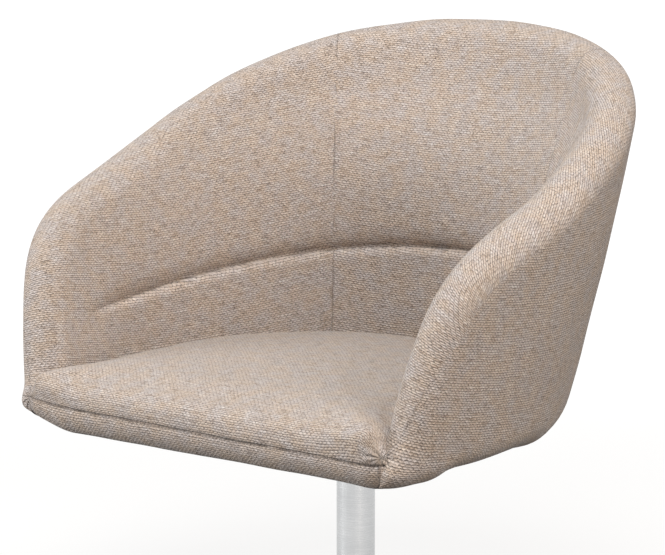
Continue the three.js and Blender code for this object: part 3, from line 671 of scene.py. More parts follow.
def wall_normal(angle, height):
    """The middle surface's normal, pointing out of the tub."""
    lift = NORMAL_TURN * TUB_RADIUS
    along = middle(angle + NORMAL_TURN, height) - middle(angle - NORMAL_TURN, height)
    up = middle(angle, height + lift) - middle(angle, height - lift)
    normal = unit(np.cross(along, up))
    outward = normal[..., 0] * np.sin(angle) + normal[..., 1] * np.cos(angle)
    return normal * np.sign(outward)[..., None]


def wall_point(angle, height, offset):
    """A point that lies an offset outside the middle surface."""
    return middle(angle, height) + wall_normal(angle, height) * np.asarray(offset)[..., None]


def level_point(angle, height, offset):
    """The same, measured where it comes out at the asked height."""
    rise = wall_point(angle, height, offset)[..., 2] - UNDERSIDE - height
    point = wall_point(angle, height - rise, offset)
    point[..., 2] = UNDERSIDE + height
    return point


FRONT_REACH = FRONT_LEAD - AXIS_SETBACK - middle(ARM_SWEEP, 0.0)[1]
FRONT_Y = -FRONT_REACH - AXIS_SETBACK
TIP_X = middle(ARM_SWEEP, 0.0)[0]
print("underside", round(UNDERSIDE, 4), "front", round(FRONT_Y, 4), "tip", round(TIP_X, 4))

# %% [markdown]
# ## From rows of points to a mesh
#
# Each cover is a grid of points with a UV map in real metres, so that a thread is the same width on every
# panel. Where two panels meet at a seam, the faces on either side read their own map.

# %% Mesh helpers
NO_SEAM = 1.0
REFINED_LEVELS = 1


def grid_faces(rows, columns, wrap_rows=False):
    """Four-cornered faces over a grid of points that is stored row by row."""
    row_index = np.arange(rows if wrap_rows else rows - 1)
    a = row_index[:, None] * columns + np.arange(columns - 1)[None, :]
    b = (row_index[:, None] + 1) % rows * columns + np.arange(columns - 1)[None, :]
    return np.stack([a, a + 1, b + 1, b], axis=-1).reshape(-1, 4)


def strips_across(ring):
    """Faces that close a loop of points with strips from one side of it to the other."""
    last = len(ring) - 1
    corners = [(ring[k], ring[k + 1], ring[last - 1 - k], ring[last - k]) for k in range((last + 1) // 2)]
    return [list(dict.fromkeys(map(int, face))) for face in corners if len(set(face)) > 2]


def make_piece(name, points, faces, corner_uvs, material):
    """A smooth mesh object. corner_uvs holds one (u, v) for each corner of each face, in turn."""
    mesh = bpy.data.meshes.new(name)
    mesh.from_pydata(np.asarray(points).tolist(), [], [list(map(int, face)) for face in faces])
    add_map(mesh, "cloth", corner_uvs)
    mesh.polygons.foreach_set("use_smooth", np.ones(len(mesh.polygons), bool))
    mesh.materials.append(material)
    piece = bpy.data.objects.new(name, mesh)
    scene.collection.objects.link(piece)
    set_distance(piece, "seam", np.full(len(mesh.vertices), NO_SEAM))
    print(name, "points", len(mesh.vertices), "faces", len(mesh.polygons))
    return piece


def add_map(mesh, name, corner_uvs):
    layer = mesh.uv_layers.new(name=name)
    layer.data.foreach_set("uv", np.asarray(corner_uvs, np.float32).ravel())


def set_distance(piece, name, distances):
    """Stores one length for each point, which the cloth's material reads."""
    layer = piece.data.attributes.get(name) or piece.data.attributes.new(name, "FLOAT", "POINT")
    layer.data.foreach_set("value", np.asarray(distances, np.float32))


def settled_mesh(piece):
    """A plain mesh of the piece as its modifiers leave it. They are taken off."""
    depsgraph = bpy.context.evaluated_depsgraph_get()
    mesh = bpy.data.meshes.new_from_object(piece.evaluated_get(depsgraph))
    piece.modifiers.clear()
    return mesh


def refined(piece):
    """The same piece with each face cut in four and rounded."""
    modifier = piece.modifiers.new("finer", "SUBSURF")
    modifier.levels = REFINED_LEVELS
    modifier.uv_smooth = "NONE"
    piece.data = settled_mesh(piece)
    piece.data.name = piece.name
    return piece


def vectors_of(items, name):
    flat = np.zeros(len(items) * 3)
    items.foreach_get(name, flat)
    return flat.reshape(-1, 3)


def points_of(piece):
    return vectors_of(piece.data.vertices, "co")


def normals_of(piece):
    return vectors_of(piece.data.vertex_normals, "vector")


def move_points(piece, points):
    piece.data.vertices.foreach_set("co", np.asarray(points, np.float32).ravel())
    piece.data.update()


def closed_with(loops, faces, uvs):
    """Adds strips across each loop of points to the faces and their map."""
    extra = [face for loop in loops for face in strips_across(loop)]
    spare = np.zeros((sum(map(len, extra)), 2))
    return [list(face) for face in faces] + extra, np.concatenate([uvs.reshape(-1, 2), spare])


def end_loops(rows, columns):
    """The point numbers round the first and the last section of a grid that is wrapped round."""
    first = np.arange(rows) * columns
    return first, (first + columns - 1)[::-1]


print("mesh helpers ready")

# %% [markdown]
# ## What hand sewing does to the shape
#
# Seat, border and arm are sewn together at one point of each front corner, and the arms' tips are drawn
# towards it. The two corners of the photographed chair differ a little: the far one is rounder underneath,
# and the front seam falls towards the near one. Slow bumps all over come from foam that is filled by hand.

# %% Drawn corners and bumps
SEWN_POINT = np.array([0.270, -0.312])
NOSE_PULL = np.array([0.001, -0.014])
PULL_HEIGHTS, PULL_REACH = (0.020, 0.075), (0.020, 0.050)
FAR_LIFT, NEAR_LIFT, ARM_LIFT, LIFT_HEIGHT = 0.013, -0.003, 0.008, 0.050
SEAM_OVER_BOARD = 0.006
FRONT_SEAM = BOARD_TOP + SEAM_OVER_BOARD
SEAM_TILT, SEAM_TILT_REACH, SEAM_TILT_FRONT = -0.011, 0.014, (0.25, 0.30)
TIP_ACROSS, TIP_FRONT = (0.205, 0.275), (-0.262, -0.232)
ARM_AWAY, ARM_FRONT, ARM_ACROSS = (0.060, 0.110), (0.02, 0.10), (0.248, 0.285)
NOISE_SIZE, NOISE_DEPTH = 0.075, 0.0012


def sewn_distance(points, sign):
    """How far points lie, in plan, from the sewn point of one corner."""
    return np.linalg.norm(points[:, :2] - SEWN_POINT * [sign, 1], axis=1)


def drawn_forward(points):
    """Draws the arms' low tips forward to the front seam."""
    moved = points.copy()
    height = points[:, 2] - UNDERSIDE
    for sign in (-1, 1):
        pull = (1 - smooth(height, *PULL_HEIGHTS)) * (1 - smooth(sewn_distance(points, sign), *PULL_REACH))
        moved[:, :2] += pull[:, None] * NOSE_PULL * [sign, 1]
    return moved


def corner_lift(points, sign, tip_lift):
    """How far a lower edge is lifted at one arm's tip and behind it."""
    across = points[:, 0] * sign
    at_tip = smooth(across, *TIP_ACROSS) * (1 - smooth(points[:, 1], *TIP_FRONT))
    away = smooth(sewn_distance(points, sign), *ARM_AWAY)
    behind = away * smooth(-points[:, 1], *ARM_FRONT) * smooth(across, *ARM_ACROSS)
    return tip_lift * at_tip + ARM_LIFT * behind * (1 - at_tip)


def rounded_below(points):
    """Tilts the front seam and rounds the lower edges at the front corners and along the arms."""
    moved = points.copy()
    height = points[:, 2] - UNDERSIDE
    near_seam = bell(height - FRONT_SEAM, SEAM_TILT_REACH) * smooth(-points[:, 1], *SEAM_TILT_FRONT)
    moved[:, 2] += SEAM_TILT * points[:, 0] * near_seam
    for sign, tip_lift in ((-1, FAR_LIFT), (1, NEAR_LIFT)):
        moved[:, 2] += corner_lift(points, sign, tip_lift) * (1 - smooth(height, 0, LIFT_HEIGHT))
    return moved


def uneven(piece):
    """Gives a cover the slow bumps of hand-filled foam."""
    points = points_of(piece)
    waves = np.array([noise.noise(Vector(point) / NOISE_SIZE) for point in points])
    move_points(piece, points + normals_of(piece) * waves[:, None] * NOISE_DEPTH)
    return piece


print("front seam", round(FRONT_SEAM, 4), "m above the underside")

# %% [markdown]
# ## The wall's crest, tuck and fold
#
# On the real chair foam is wrapped round the panel's edge, so the crest is a half circle in section. The
# outer cloth is drawn in under the tub, and the inner cloth rolls over a fold behind the sitter's waist.
# Each of these is a formula in the angle and the height, and a few lines give it to every point at once.
# Only the distance from the crest has no formula, so it is looked up among many samples of the crest.

# %% Crest, tuck and fold
SEAM_ANGLE = math.radians(32)
SEAM_DEPTH, SEAM_WIDTH = 0.0016, 0.0022
FOLD_TURN = 0.026
FOLD_DEPTH = 0.012
FADE_START, FADE_END = math.radians(88), math.radians(113)
TUCK_FADE_POWER = 1.5
CREST_SAMPLES = 2400

crest_sides = np.linspace(-1, 1, CREST_SAMPLES + 1)
crest_angles, crest_heights = crest_at(crest_sides)
crest_line = np.stack([crest_angles * CREST_ARC, crest_heights], axis=-1)
crest_slopes = unit(np.gradient(crest_line, axis=0))
crest_tree = KDTree(len(crest_line))
for sample, (along_crest, crest_level) in enumerate(crest_line):
    crest_tree.insert((along_crest, crest_level, 0), sample)
crest_tree.balance()


def nearest_crest(places):
    """The number of the crest's sample that lies nearest to each place on the unrolled wall."""
    return np.array([crest_tree.find((x, y, 0))[1] for x, y in places])


def crest_distance(angle, height):
    """How far a place on the wall lies below the crest, measured on the unrolled wall."""
    places = np.stack([np.ravel(angle) * CREST_ARC, np.ravel(height)], axis=-1)
    nearest = nearest_crest(places)
    gaps = places - crest_line[nearest]
    along = np.sum(gaps * crest_slopes[nearest], axis=1)
    spacing = np.linalg.norm(crest_line[1] - crest_line[0])
    inner = np.abs(along) < 2 * spacing
    square = np.sum(gaps * gaps, axis=1) - np.where(inner, along * along, 0)
    return np.sqrt(np.maximum(square, 0)).reshape(np.shape(angle))


def half_thickness(angle, height):
    inwards = np.clip(crest_distance(angle, height) / WALL_HALF, 0, 1)
    return WALL_HALF * np.sqrt(1 - (1 - inwards) ** 2)


def tuck(angle, height):
    """How far the outer face is drawn in near the foot."""
    towards_tip = np.clip(np.abs(angle) / ARM_SWEEP, 0, 1) ** TUCK_FADE_POWER
    rise = lerp(BACK_TUCK_HEIGHT, TIP_TUCK_HEIGHT, towards_tip)
    depth = lerp(BACK_TUCK_DEPTH, TIP_TUCK_DEPTH, towards_tip)
    return depth * rounding(1 - np.clip(height / rise, 0, 1))


def fold_height(angle):
    return lerp(FOLD_BACK_HEIGHT, FOLD_TIP_HEIGHT, smooth(np.abs(angle) / ARM_SWEEP))


def fold_strength(angle):
    """1 round the back, fading to 0 where the fold dies out on the arms."""
    return 1 - smooth(np.abs(angle), FADE_START, FADE_END)


def fold_relief(angle, height):
    """How proud the inner face stands: it rolls over above the fold and dives into the crease."""
    above = height - fold_height(angle)
    strength = fold_strength(angle)
    rolled = FOLD_ROLL * np.sin(math.pi * np.clip(above / FOLD_ROLL_HEIGHT, 0, 1))
    dive = FOLD_DEPTH * rounding(1 - np.clip(above / FOLD_TURN, 0, 1))
    return (rolled - dive) * strength


def seam_groove(angle, height):
    return SEAM_DEPTH * bell((np.abs(angle) - SEAM_ANGLE) * TUB_RADIUS, SEAM_WIDTH)


print("crest", round(run_along(crest_line)[-1], 3), "m long on the unrolled wall")

# %% [markdown]
# ## Cross-sections of the wall
#
# Cross-sections from the outer foot over the crest to the inner foot make the mesh. A grid of angles and
# heights would be simpler, but near the arms' tips the crest stands almost upright. So each section leaves
# the crest square to it and then bends down to the foot, as a fan does. That keeps the arm's round edge
# even. The sections stand closer together at the upright seams, and their rows at every turn.

# %% Cross-sections
WALL_SPACING = 0.0065
SEAM_STEPS = np.array([-8, -5.5, -3.5, -2, -1, 0, 1, 2, 3.5, 5.5, 8]) / 1000
SEAM_CLEAR = SEAM_STEPS[-1] * 1.4
CREST_ROWS, FACE_ROWS, TUCK_ROWS, FOLD_ROWS, HIDDEN_ROWS = 13, 36, 16, 16, 8
PATH_STEPS = 97
PATH_REACH_SHARE, PATH_SPREAD_SHARE, UPRIGHT_SHARES = 0.36, 0.25, (0.35, 0.75)
# Shares of a section: the most that the crest's or the tuck's turn may take, the highest that the fold
# may lie, and the most that its roll may take of the part above it
TURN_SHARE, FOLD_SHARE, ROLL_SHARE = 0.4, 0.55, 0.3
ROLL_LENGTH = FOLD_TURN * 1.15


def station_sides():
    """Where the sections stand, from -1 to 1, closer together at the seams."""
    arc = run_along(crest_line)
    count = int(arc[-1] / WALL_SPACING)
    even = np.linspace(0, arc[-1], count + 1)
    for sign in (-1, 1):
        seam = np.interp(sign * SEAM_ANGLE, crest_angles, arc)
        even = even[np.abs(even - seam) > SEAM_CLEAR]
        even = np.concatenate([even, seam + SEAM_STEPS])
    return np.interp(np.sort(even), arc, crest_sides)


def section_paths(sides):
    """For each side, a curve on the unrolled wall from the crest to the foot."""
    angles, heights = crest_at(sides)
    away = np.abs(sides)
    spread = away + PATH_SPREAD_SHARE * away * (1 - away)
    foot_share = lerp(np.abs(angles) / ARM_SWEEP, spread, smooth(away, *UPRIGHT_SHARES))
    start = np.stack([angles * CREST_ARC, heights], axis=-1)
    end = np.stack([np.sign(sides) * foot_share * ARM_SWEEP * CREST_ARC, 0 * heights], axis=-1)
    slope = np.stack([np.interp(sides, crest_sides, crest_slopes[:, i]) for i in (0, 1)], axis=-1)
    reach = PATH_REACH_SHARE * np.linalg.norm(end - start, axis=1, keepdims=True)
    first = start + turned_right(slope) * reach
    second = end + np.array([0, 1]) * reach
    return bent_line(start, first, second, end, np.linspace(0, 1, PATH_STEPS)[:, None, None])


def quarter_turns(rows):
    return np.linspace(0, math.pi / 2, rows)[:, None]


def rows_to(lengths, end, turn, turn_rows):
    """Distances from the crest to an end. The rows crowd round the crest and in the last turn."""
    crest = np.minimum(WALL_HALF, TURN_SHARE * lengths)
    crest_part = crest * (1 - np.cos(quarter_turns(CREST_ROWS)))
    face_part = lerp(crest, end - turn, np.linspace(0, 1, FACE_ROWS)[1:-1, None])
    return np.concatenate([crest_part, face_part, end - turn * (1 - np.sin(quarter_turns(turn_rows)))])


def outer_rows(lengths):
    return rows_to(lengths, lengths, np.minimum(BACK_TUCK_HEIGHT, TURN_SHARE * lengths), TUCK_ROWS)


def inner_rows(lengths, fold_marks):
    """Rows down to the fold, and a few hidden ones behind the lower pad."""
    crest = np.minimum(WALL_HALF, TURN_SHARE * lengths)
    roll = np.minimum(ROLL_LENGTH, ROLL_SHARE * (fold_marks - crest))
    hidden = lerp(fold_marks, lengths, np.linspace(0, 1, HIDDEN_ROWS)[1:, None])
    return np.concatenate([rows_to(lengths, fold_marks, roll, FOLD_ROWS), hidden])


def places_along(paths, distances):
    """Angle and height at each distance along each section."""
    travelled = run_along(paths)
    angle = np.empty_like(distances)
    height = np.empty_like(distances)
    for k in range(paths.shape[1]):
        angle[:, k] = np.interp(distances[:, k], travelled[:, k], paths[:, k, 0]) / CREST_ARC
        height[:, k] = np.interp(distances[:, k], travelled[:, k], paths[:, k, 1])
    return angle, np.maximum(height, 0)


def section_places():
    """Angle and height of every row on the outer and on the inner side."""
    sides = station_sides()
    paths = section_paths(sides)
    travelled = run_along(paths)
    angles, heights = crest_at(sides)
    low = np.minimum(fold_height(angles), FOLD_SHARE * heights)
    marks = np.array([np.interp(-low[k], -paths[:, k, 1], travelled[:, k]) for k in range(len(sides))])
    lengths = travelled[-1]
    return places_along(paths, outer_rows(lengths)), places_along(paths, inner_rows(lengths, marks))


def one_grid(outer, inner):
    """The outer side's rows from the foot up to the crest, then the inner side's down again."""
    return np.concatenate([outer[::-1], inner[1:]])


def outer_side(angle, height):
    half = half_thickness(angle, height)
    drawn = np.minimum(tuck(angle, height), 2 * half)
    return wall_point(angle, height, half - drawn - seam_groove(angle, height) * half / WALL_HALF)


def inner_side(angle, height):
    half = half_thickness(angle, height)
    relief = half / WALL_HALF * (fold_relief(angle, height) - seam_groove(angle, height))
    return wall_point(angle, height, -(half + relief))


print("cross-sections", len(station_sides()))

# %% [markdown]
# ## How the wall's cloth is cut
#
# A back panel and two arm panels meet in upright seams, outside and inside. Each panel is cut flat, so its
# threads slant a little where it wraps the flaring wall. The UV map is the place on the unrolled wall, in
# metres, which keeps the threads the same size everywhere. Blender's own unwrapping would not know how the
# threads run. The inner panel also wraps the arm's front edge, as far as a seam there.

# %% Cloth maps of the wall
FLARE = 0.11
PANEL_MIDDLES = (0, (SEAM_ANGLE + ARM_SWEEP) / 2)
# The inner panel wraps the arm's front edge: where it ends, in height and in turn round the edge
TIP_SEAM_HEIGHTS = [0.0, 0.026, 0.045, 0.060, 0.095, 0.145, 0.180]
TIP_SEAM_TURNS = np.radians([-90, -30, 2, 22, 36, 58, 85])
TIP_SEAM_FADE, TIP_SEAM_FADE_WIDTH = (0.110, 0.165), 0.004
TIP_SEAM_START = math.radians(100)
TIP_TURN_LENGTH = WALL_HALF * 0.85
INNER_CLOTH_SHIFT = 0.37


def axis_distance(points):
    return np.hypot(points[..., 0], points[..., 1] + AXIS_SETBACK)


def extra_length(points, plain):
    """How much more cloth each section needs where it turns under, as a step down the unrolled wall."""
    longer = np.linalg.norm(np.diff(points, axis=0), axis=2) - np.linalg.norm(np.diff(plain, axis=0), axis=2)
    longer[:-TUCK_ROWS] = 0
    run = np.concatenate([0 * longer[:1], np.cumsum(np.maximum(longer, 0), axis=0)])
    return np.stack([0 * run, run], axis=-1)


def crest_turn(angle, height):
    """How far round the half-round crest a place lies, from 0 on the crest to a quarter turn."""
    depth = np.clip(crest_distance(angle, height), 0, WALL_HALF)
    return np.arccos(1 - depth / WALL_HALF)


def unrolled(angle, height, side):
    """Where a place lies when the crest is rolled out flat, for the cloth on its own side or beyond."""
    place = np.stack([angle * CREST_ARC, height], axis=-1)
    depth = np.clip(crest_distance(angle, height), 0, WALL_HALF)
    flat_depth = WALL_HALF * (1 - math.pi / 2 + side * crest_turn(angle, height))
    slope = crest_slopes[nearest_crest(place.reshape(-1, 2)).reshape(angle.shape)]
    return place + turned_right(slope) * (flat_depth - depth)[..., None]


def unrolled_sides(outer, inner, outer_points):
    """Every row's unrolled place, first as the outer panel's cloth has it, then as the inner one's."""
    under = extra_length(outer_points, wall_point(*outer, half_thickness(*outer)))
    return [one_grid(unrolled(*outer, side) - under, unrolled(*inner, -side)) for side in (1, -1)]


def thread_slant(angle, panel_middle):
    """How far a thread of a flat-cut panel lies above the level line, where it wraps the flaring wall."""
    return FLARE * TUB_RADIUS * (np.abs(angle) - panel_middle) ** 2


def panel_map(unrolled_place, radius, panel_middle):
    """The UV map of one flat-cut panel: u round the wall, v up it."""
    angle = unrolled_place[..., 0] / CREST_ARC
    u = radius * (angle - np.sign(angle) * panel_middle)
    v = unrolled_place[..., 1] - thread_slant(angle, panel_middle)
    return np.stack([u, v], axis=-1).reshape(-1, 2)


def panel_uvs(unrolled_places, radius, faces):
    """The corners' places on the back panel or the arm panels."""
    angle = unrolled_places[..., 0].ravel() / CREST_ARC
    on_arm = np.abs(angle[faces].mean(axis=1)) > SEAM_ANGLE
    back_map, arm_map = (panel_map(unrolled_places, radius, middle_angle) for middle_angle in PANEL_MIDDLES)
    return np.where(on_arm[:, None, None], arm_map[faces], back_map[faces])


def beyond_edge(turn, height):
    """How far inside the inner panel's edge a place lies."""
    return (np.interp(height, TIP_SEAM_HEIGHTS, TIP_SEAM_TURNS) - turn) * TIP_TURN_LENGTH


def wall_seam(turn, angle, height):
    """The distance to the nearest seam: an upright one, or the one up the arm's front."""
    upright = np.abs(np.abs(angle) - SEAM_ANGLE) * TUB_RADIUS
    fade = smooth(height, *TIP_SEAM_FADE) * TIP_SEAM_FADE_WIDTH + (np.abs(angle) < TIP_SEAM_START) * NO_SEAM
    return np.minimum(upright, np.abs(beyond_edge(turn, height)) + fade)


print("panel middles at", [round(math.degrees(angle)) for angle in PANEL_MIDDLES], "degrees")

# %% [markdown]
# ## The wall's cover
#
# On the real chair one sewn cover is pulled over the padded panel. Here it is one closed mesh with two maps:
# the outer panels' map, and the inner panels' map, which the cloth reads inside the seam at the edge. The
# thread's run changes at that seam, as it does where two real panels meet.

# %% Wall cover
def wall_cover():
    outer, inner = section_places()
    outer_points = outer_side(*outer)
    points = one_grid(outer_points, inner_side(*inner))
    angle, height = (one_grid(*pair) for pair in zip(outer, inner))
    turn = one_grid(crest_turn(*outer), -crest_turn(*inner))
    rows, columns = angle.shape
    faces = grid_faces(rows, columns, wrap_rows=True)
    ends = end_loops(rows, columns)
    uvs = []
    for places, offset in zip(unrolled_sides(outer, inner, outer_points), (WALL_HALF, -WALL_HALF)):
        radius = axis_distance(wall_point(angle, height, offset + 0 * angle))
        uvs.append(panel_uvs(places, radius, faces))
    all_faces, outer_uvs = closed_with(ends, faces, uvs[0])
    piece = make_piece("tub_cover", points.reshape(-1, 3), all_faces, outer_uvs, tweed)
    add_map(piece.data, "cloth_beyond", closed_with(ends, faces, uvs[1] + INNER_CLOTH_SHIFT)[1])
    set_distance(piece, "beyond", beyond_edge(turn, height).ravel())
    set_distance(piece, "seam", wall_seam(turn, angle, height).ravel())
    move_points(piece, rounded_below(drawn_forward(points_of(piece))))
    return uneven(piece)


tub_cover = wall_cover()

# %% [markdown]
# ## The lower back pad
#
# Between the fold and the seat lies a pad of its own. It dives in under the fold, swells out a little
# below it and turns under again at the seat. On the arms it sinks into the wall, so the fold dies out there.

# %% Lower back cover
PAD_END = FADE_END + math.radians(2)
PAD_SWELL, PAD_DIVE, PAD_DIVE_HEIGHT = 0.003, 0.013, 0.011
PAD_BACK = 0.0125
PAD_FOOT_TUCK = 0.009
PAD_SINK = 0.006
PAD_SWELL_POWER = 1.2
PAD_SPACING = WALL_SPACING / TUB_RADIUS * 1.2
PAD_ROWS, PAD_BACK_STEP = 40, 4


def pad_relief(angle, height):
    """How proud the pad stands of the wall's plain inner face."""
    fold = fold_height(angle)
    below = fold - height
    share = np.clip(below / (fold - SEAT_CREASE), 0, 1)
    swell = PAD_SWELL * (1 - share**PAD_SWELL_POWER)
    dive = PAD_DIVE * rounding(1 - np.clip(below / PAD_DIVE_HEIGHT, 0, 1))
    under = PAD_FOOT_TUCK * share
    strength = fold_strength(angle)
    return (swell - dive - under) * strength - PAD_SINK * (1 - strength)


def seam_spaced_angles(end):
    """Angles from -end to end, closer together at the upright seams."""
    even = np.arange(-end, end, PAD_SPACING)
    for seam in (-SEAM_ANGLE, SEAM_ANGLE):
        even = even[np.abs(even - seam) * TUB_RADIUS > SEAM_CLEAR]
        even = np.concatenate([even, seam + SEAM_STEPS / TUB_RADIUS])
    return np.append(np.sort(even), end)


def pad_heights(fold):
    """Heights of the pad's rows, from the fold down to the board."""
    top_part = fold - PAD_DIVE_HEIGHT * (1 - np.cos(quarter_turns(FOLD_ROWS)))
    low_part = lerp(fold - PAD_DIVE_HEIGHT, BOARD_TOP, np.linspace(0, 1, PAD_ROWS)[1:, None])
    return np.concatenate([top_part, low_part])


def lower_back_cover():
    angle = seam_spaced_angles(PAD_END)[None, :]
    height = pad_heights(fold_height(angle))
    angle = angle + 0 * height
    face = level_point(angle, height, -(WALL_HALF + pad_relief(angle, height) - seam_groove(angle, height)))
    back_angle, back_height = angle[::-PAD_BACK_STEP], height[::-PAD_BACK_STEP]
    back = level_point(back_angle, back_height, -(WALL_HALF - PAD_BACK) + 0 * back_height)
    points = np.concatenate([face, back])
    angle, height = np.concatenate([angle, back_angle]), np.concatenate([height, back_height])
    rows, columns = angle.shape
    faces = grid_faces(rows, columns, wrap_rows=True)
    uvs = panel_uvs(np.stack([angle * CREST_ARC, height], axis=-1), axis_distance(points), faces)
    faces, uvs = closed_with(end_loops(rows, columns), faces, uvs + INNER_CLOTH_SHIFT)
    piece = make_piece("lower_back_cover", points.reshape(-1, 3), faces, uvs, tweed)
    set_distance(piece, "seam", ((np.abs(angle) - SEAM_ANGLE) * TUB_RADIUS).ravel())
    return uneven(piece)


back_cover = lower_back_cover()

# %% [markdown]
# ## The seat's outline
#
# The seat is a crowned cushion between the walls, and its outline is a loop of four curves. The back one and
# most of the side ones follow the wall's inner face, so they are taken from the wall's formula and pressed
# into it by two millimetres, as foam is. Two short arcs turn the front corners.

# %% Outline of the seat
# A front corner in plan: where its arc starts, the arc's radius, and how far it turns
TIGHT_RADIUS = 0.016
TIGHT_CORNER = (TIP_X - TIGHT_RADIUS, TIGHT_RADIUS, math.pi / 2)
WIDE_CORNER = (0.250, 0.045, math.radians(52))
SEAT_SPLIT, SEAT_SIDE_END = math.radians(45), math.radians(110)
SEAT_PRESS = 0.002
SEAT_ACROSS, SEAT_ALONG = 96, 84
ARC_POINTS, SIDE_POINTS, BACK_POINTS, BRIDGE_POINTS = 12, 60, 80, 40
BRIDGE_REACH_SHARE = 0.4


def resampled(points, count):
    """The same line with evenly spaced points."""
    travelled = run_along(points)
    along = np.linspace(0, travelled[-1], count)
    return np.stack([np.interp(along, travelled, points[:, i]) for i in range(points.shape[1])], axis=-1)


def bridge_between(start, start_way, end, end_way):
    """A smooth curve that leaves one point and reaches another in given directions."""
    reach = BRIDGE_REACH_SHARE * np.linalg.norm(end - start)
    t = np.linspace(0, 1, BRIDGE_POINTS)[:, None]
    return bent_line(start, start + start_way * reach, end - end_way * reach, end, t)


def corner_arc(corner, start, end, steps=ARC_POINTS):
    """Part of the right front corner in plan, from one share of its arc to another."""
    first_x, radius, whole_turn = corner
    turn = np.linspace(start, end, steps) * whole_turn
    return np.stack([first_x + radius * np.sin(turn), FRONT_Y + radius * (1 - np.cos(turn))], axis=-1)


def wall_line(angles):
    """The line in plan along which the seat meets the wall, pressed into it a little."""
    return level_point(angles, SEAT_CREASE + 0 * angles, -(WALL_HALF - SEAT_PRESS) + 0 * angles)[:, :2]


def seat_side(corner):
    """The right side in plan, from the middle of the front corner to where the back begins."""
    arc = corner_arc(corner, 0.5, 1)
    wall = wall_line(np.linspace(SEAT_SIDE_END, SEAT_SPLIT, SIDE_POINTS))
    bridge = bridge_between(arc[-1], unit(arc[-1] - arc[-2]), wall[0], unit(wall[1] - wall[0]))
    return np.concatenate([arc, bridge[1:-1], wall])


def seat_boundary(corner):
    """The outline's four curves: front and back from left to right, right and left from front to back."""
    right = resampled(seat_side(corner), SEAT_ALONG)
    left = right * [-1, 1]
    back = resampled(wall_line(np.linspace(-SEAT_SPLIT, SEAT_SPLIT, BACK_POINTS)), SEAT_ACROSS)
    arc = corner_arc(corner, 0, 0.5)
    front = resampled(np.concatenate([arc[::-1] * [-1, 1], arc]), SEAT_ACROSS)
    return front, right, back, left


def loop_of(front, right, back, left):
    """One closed loop, anticlockwise from the left front corner."""
    return np.concatenate([front[:-1], right[:-1], back[::-1][:-1], left[::-1][:-1]])


def outward_of(loop):
    return unit(turned_right(np.roll(loop, -1, axis=0) - np.roll(loop, 1, axis=0)))


print("outline", round(run_along(loop_of(*seat_boundary(TIGHT_CORNER)))[-1], 3), "m long")

# %% [markdown] ## Cloth over foam  A real cover is sewn a little too small for its foam, so it bulges
# between its seams. A formula could swell it, but simulated cloth finds the bulge by itself: the seam is
# held, pressure acts from inside and gravity is off. The result moves each point along its normal and is
# evened out, because foam irons out the small wrinkles that such cloth leaves.

# %% Cloth over foam
PRESSURE, CLOTH_MASS, CLOTH_QUALITY = 4.0, 0.3, 6
SWELL_CAP, SWELL_ROUNDS = 0.004, 12
LAST_FRAME = 20


def evened(piece, values, rounds):
    """The values with each taking its neighbours' mean, several times over."""
    ends = np.zeros(len(piece.data.edges) * 2, dtype=int)
    piece.data.edges.foreach_get("vertices", ends)
    one, other = ends.reshape(-1, 2).T
    count = np.bincount(ends, minlength=len(values))
    for _ in range(rounds):
        total = np.bincount(one, values[other], len(values)) + np.bincount(other, values[one], len(values))
        values = (values + total / np.maximum(count, 1)) / 2
    return values


def cloth_points(piece, held):
    """Where the points come to rest when the piece is cloth over pressing foam."""
    group = piece.vertex_groups.new(name="held")
    for index, weight in enumerate(held):
        group.add([index], float(weight), "REPLACE")
    modifier = piece.modifiers.new("cloth", "CLOTH")
    modifier.settings.quality = CLOTH_QUALITY
    modifier.settings.mass = CLOTH_MASS
    modifier.settings.use_pressure = True
    modifier.settings.uniform_pressure_force = PRESSURE
    modifier.settings.vertex_group_mass = group.name
    modifier.settings.effector_weights.gravity = 0
    modifier.point_cache.frame_end = LAST_FRAME
    for frame_number in range(1, LAST_FRAME + 1):
        scene.frame_set(frame_number)
    settled = settled_mesh(piece)
    points = vectors_of(settled.vertices, "co")
    bpy.data.meshes.remove(settled)
    piece.vertex_groups.clear()
    scene.frame_set(1)
    return points


def inflate(piece, held):
    """Lets the cover swell as cloth does. held is 1 where a point stays, 0 where it is free."""
    before = points_of(piece)
    moved = cloth_points(piece, held) - before
    normals = normals_of(piece)
    swell = np.clip((moved * normals).sum(axis=1), -SWELL_CAP, SWELL_CAP)
    swell = evened(piece, swell * (1 - held), SWELL_ROUNDS)
    move_points(piece, before + normals * swell[:, None])
    print("swell in mm: mean", round(1000 * swell.mean(), 2), "most", round(1000 * swell.max(), 2))


print("cloth frames", LAST_FRAME)

# %% [markdown]
# ## The seat's cover
#
# The edge rolls over at the front and sinks into the crease at the back. Loops inside one another make the
# rolled edge, and a grid spanned between the four curves makes the top, so that threads run straight over
# it. A grid wrapped all over would be simpler, but would bunch its threads at the corners.

# %% Seat cover
SEAT_CENTRE_SHARE = 0.12
SEAT_CENTRE = np.array([0, SEAT_CENTRE_SHARE * FRONT_REACH - AXIS_SETBACK])
BACK_EDGE_RADIUS, SIDE_EDGE_RADIUS = 0.009, 0.024
# Where the edge's roundness changes: from side to back, from the front's middle to its corners, and from
# front to side
SIDE_TO_BACK, MIDDLE_TO_CORNER, FRONT_TO_SIDE = (-0.22, 0.05), (0.18, 0.25), (FRONT_Y + 0.01, FRONT_Y + 0.06)
SEAM_DRAW, SEAM_REACH = 0.0006, 0.0028
SEAM_LAP, SEAM_LAP_INSET = 0.0025, 0.006
EDGE_ROWS, SKIRT_ROWS = 9, 8
SEAT_BASE, SEAM_LEVEL = UNDERSIDE + SEAT_CREASE, UNDERSIDE + FRONT_SEAM
SWELL_START = 0.004


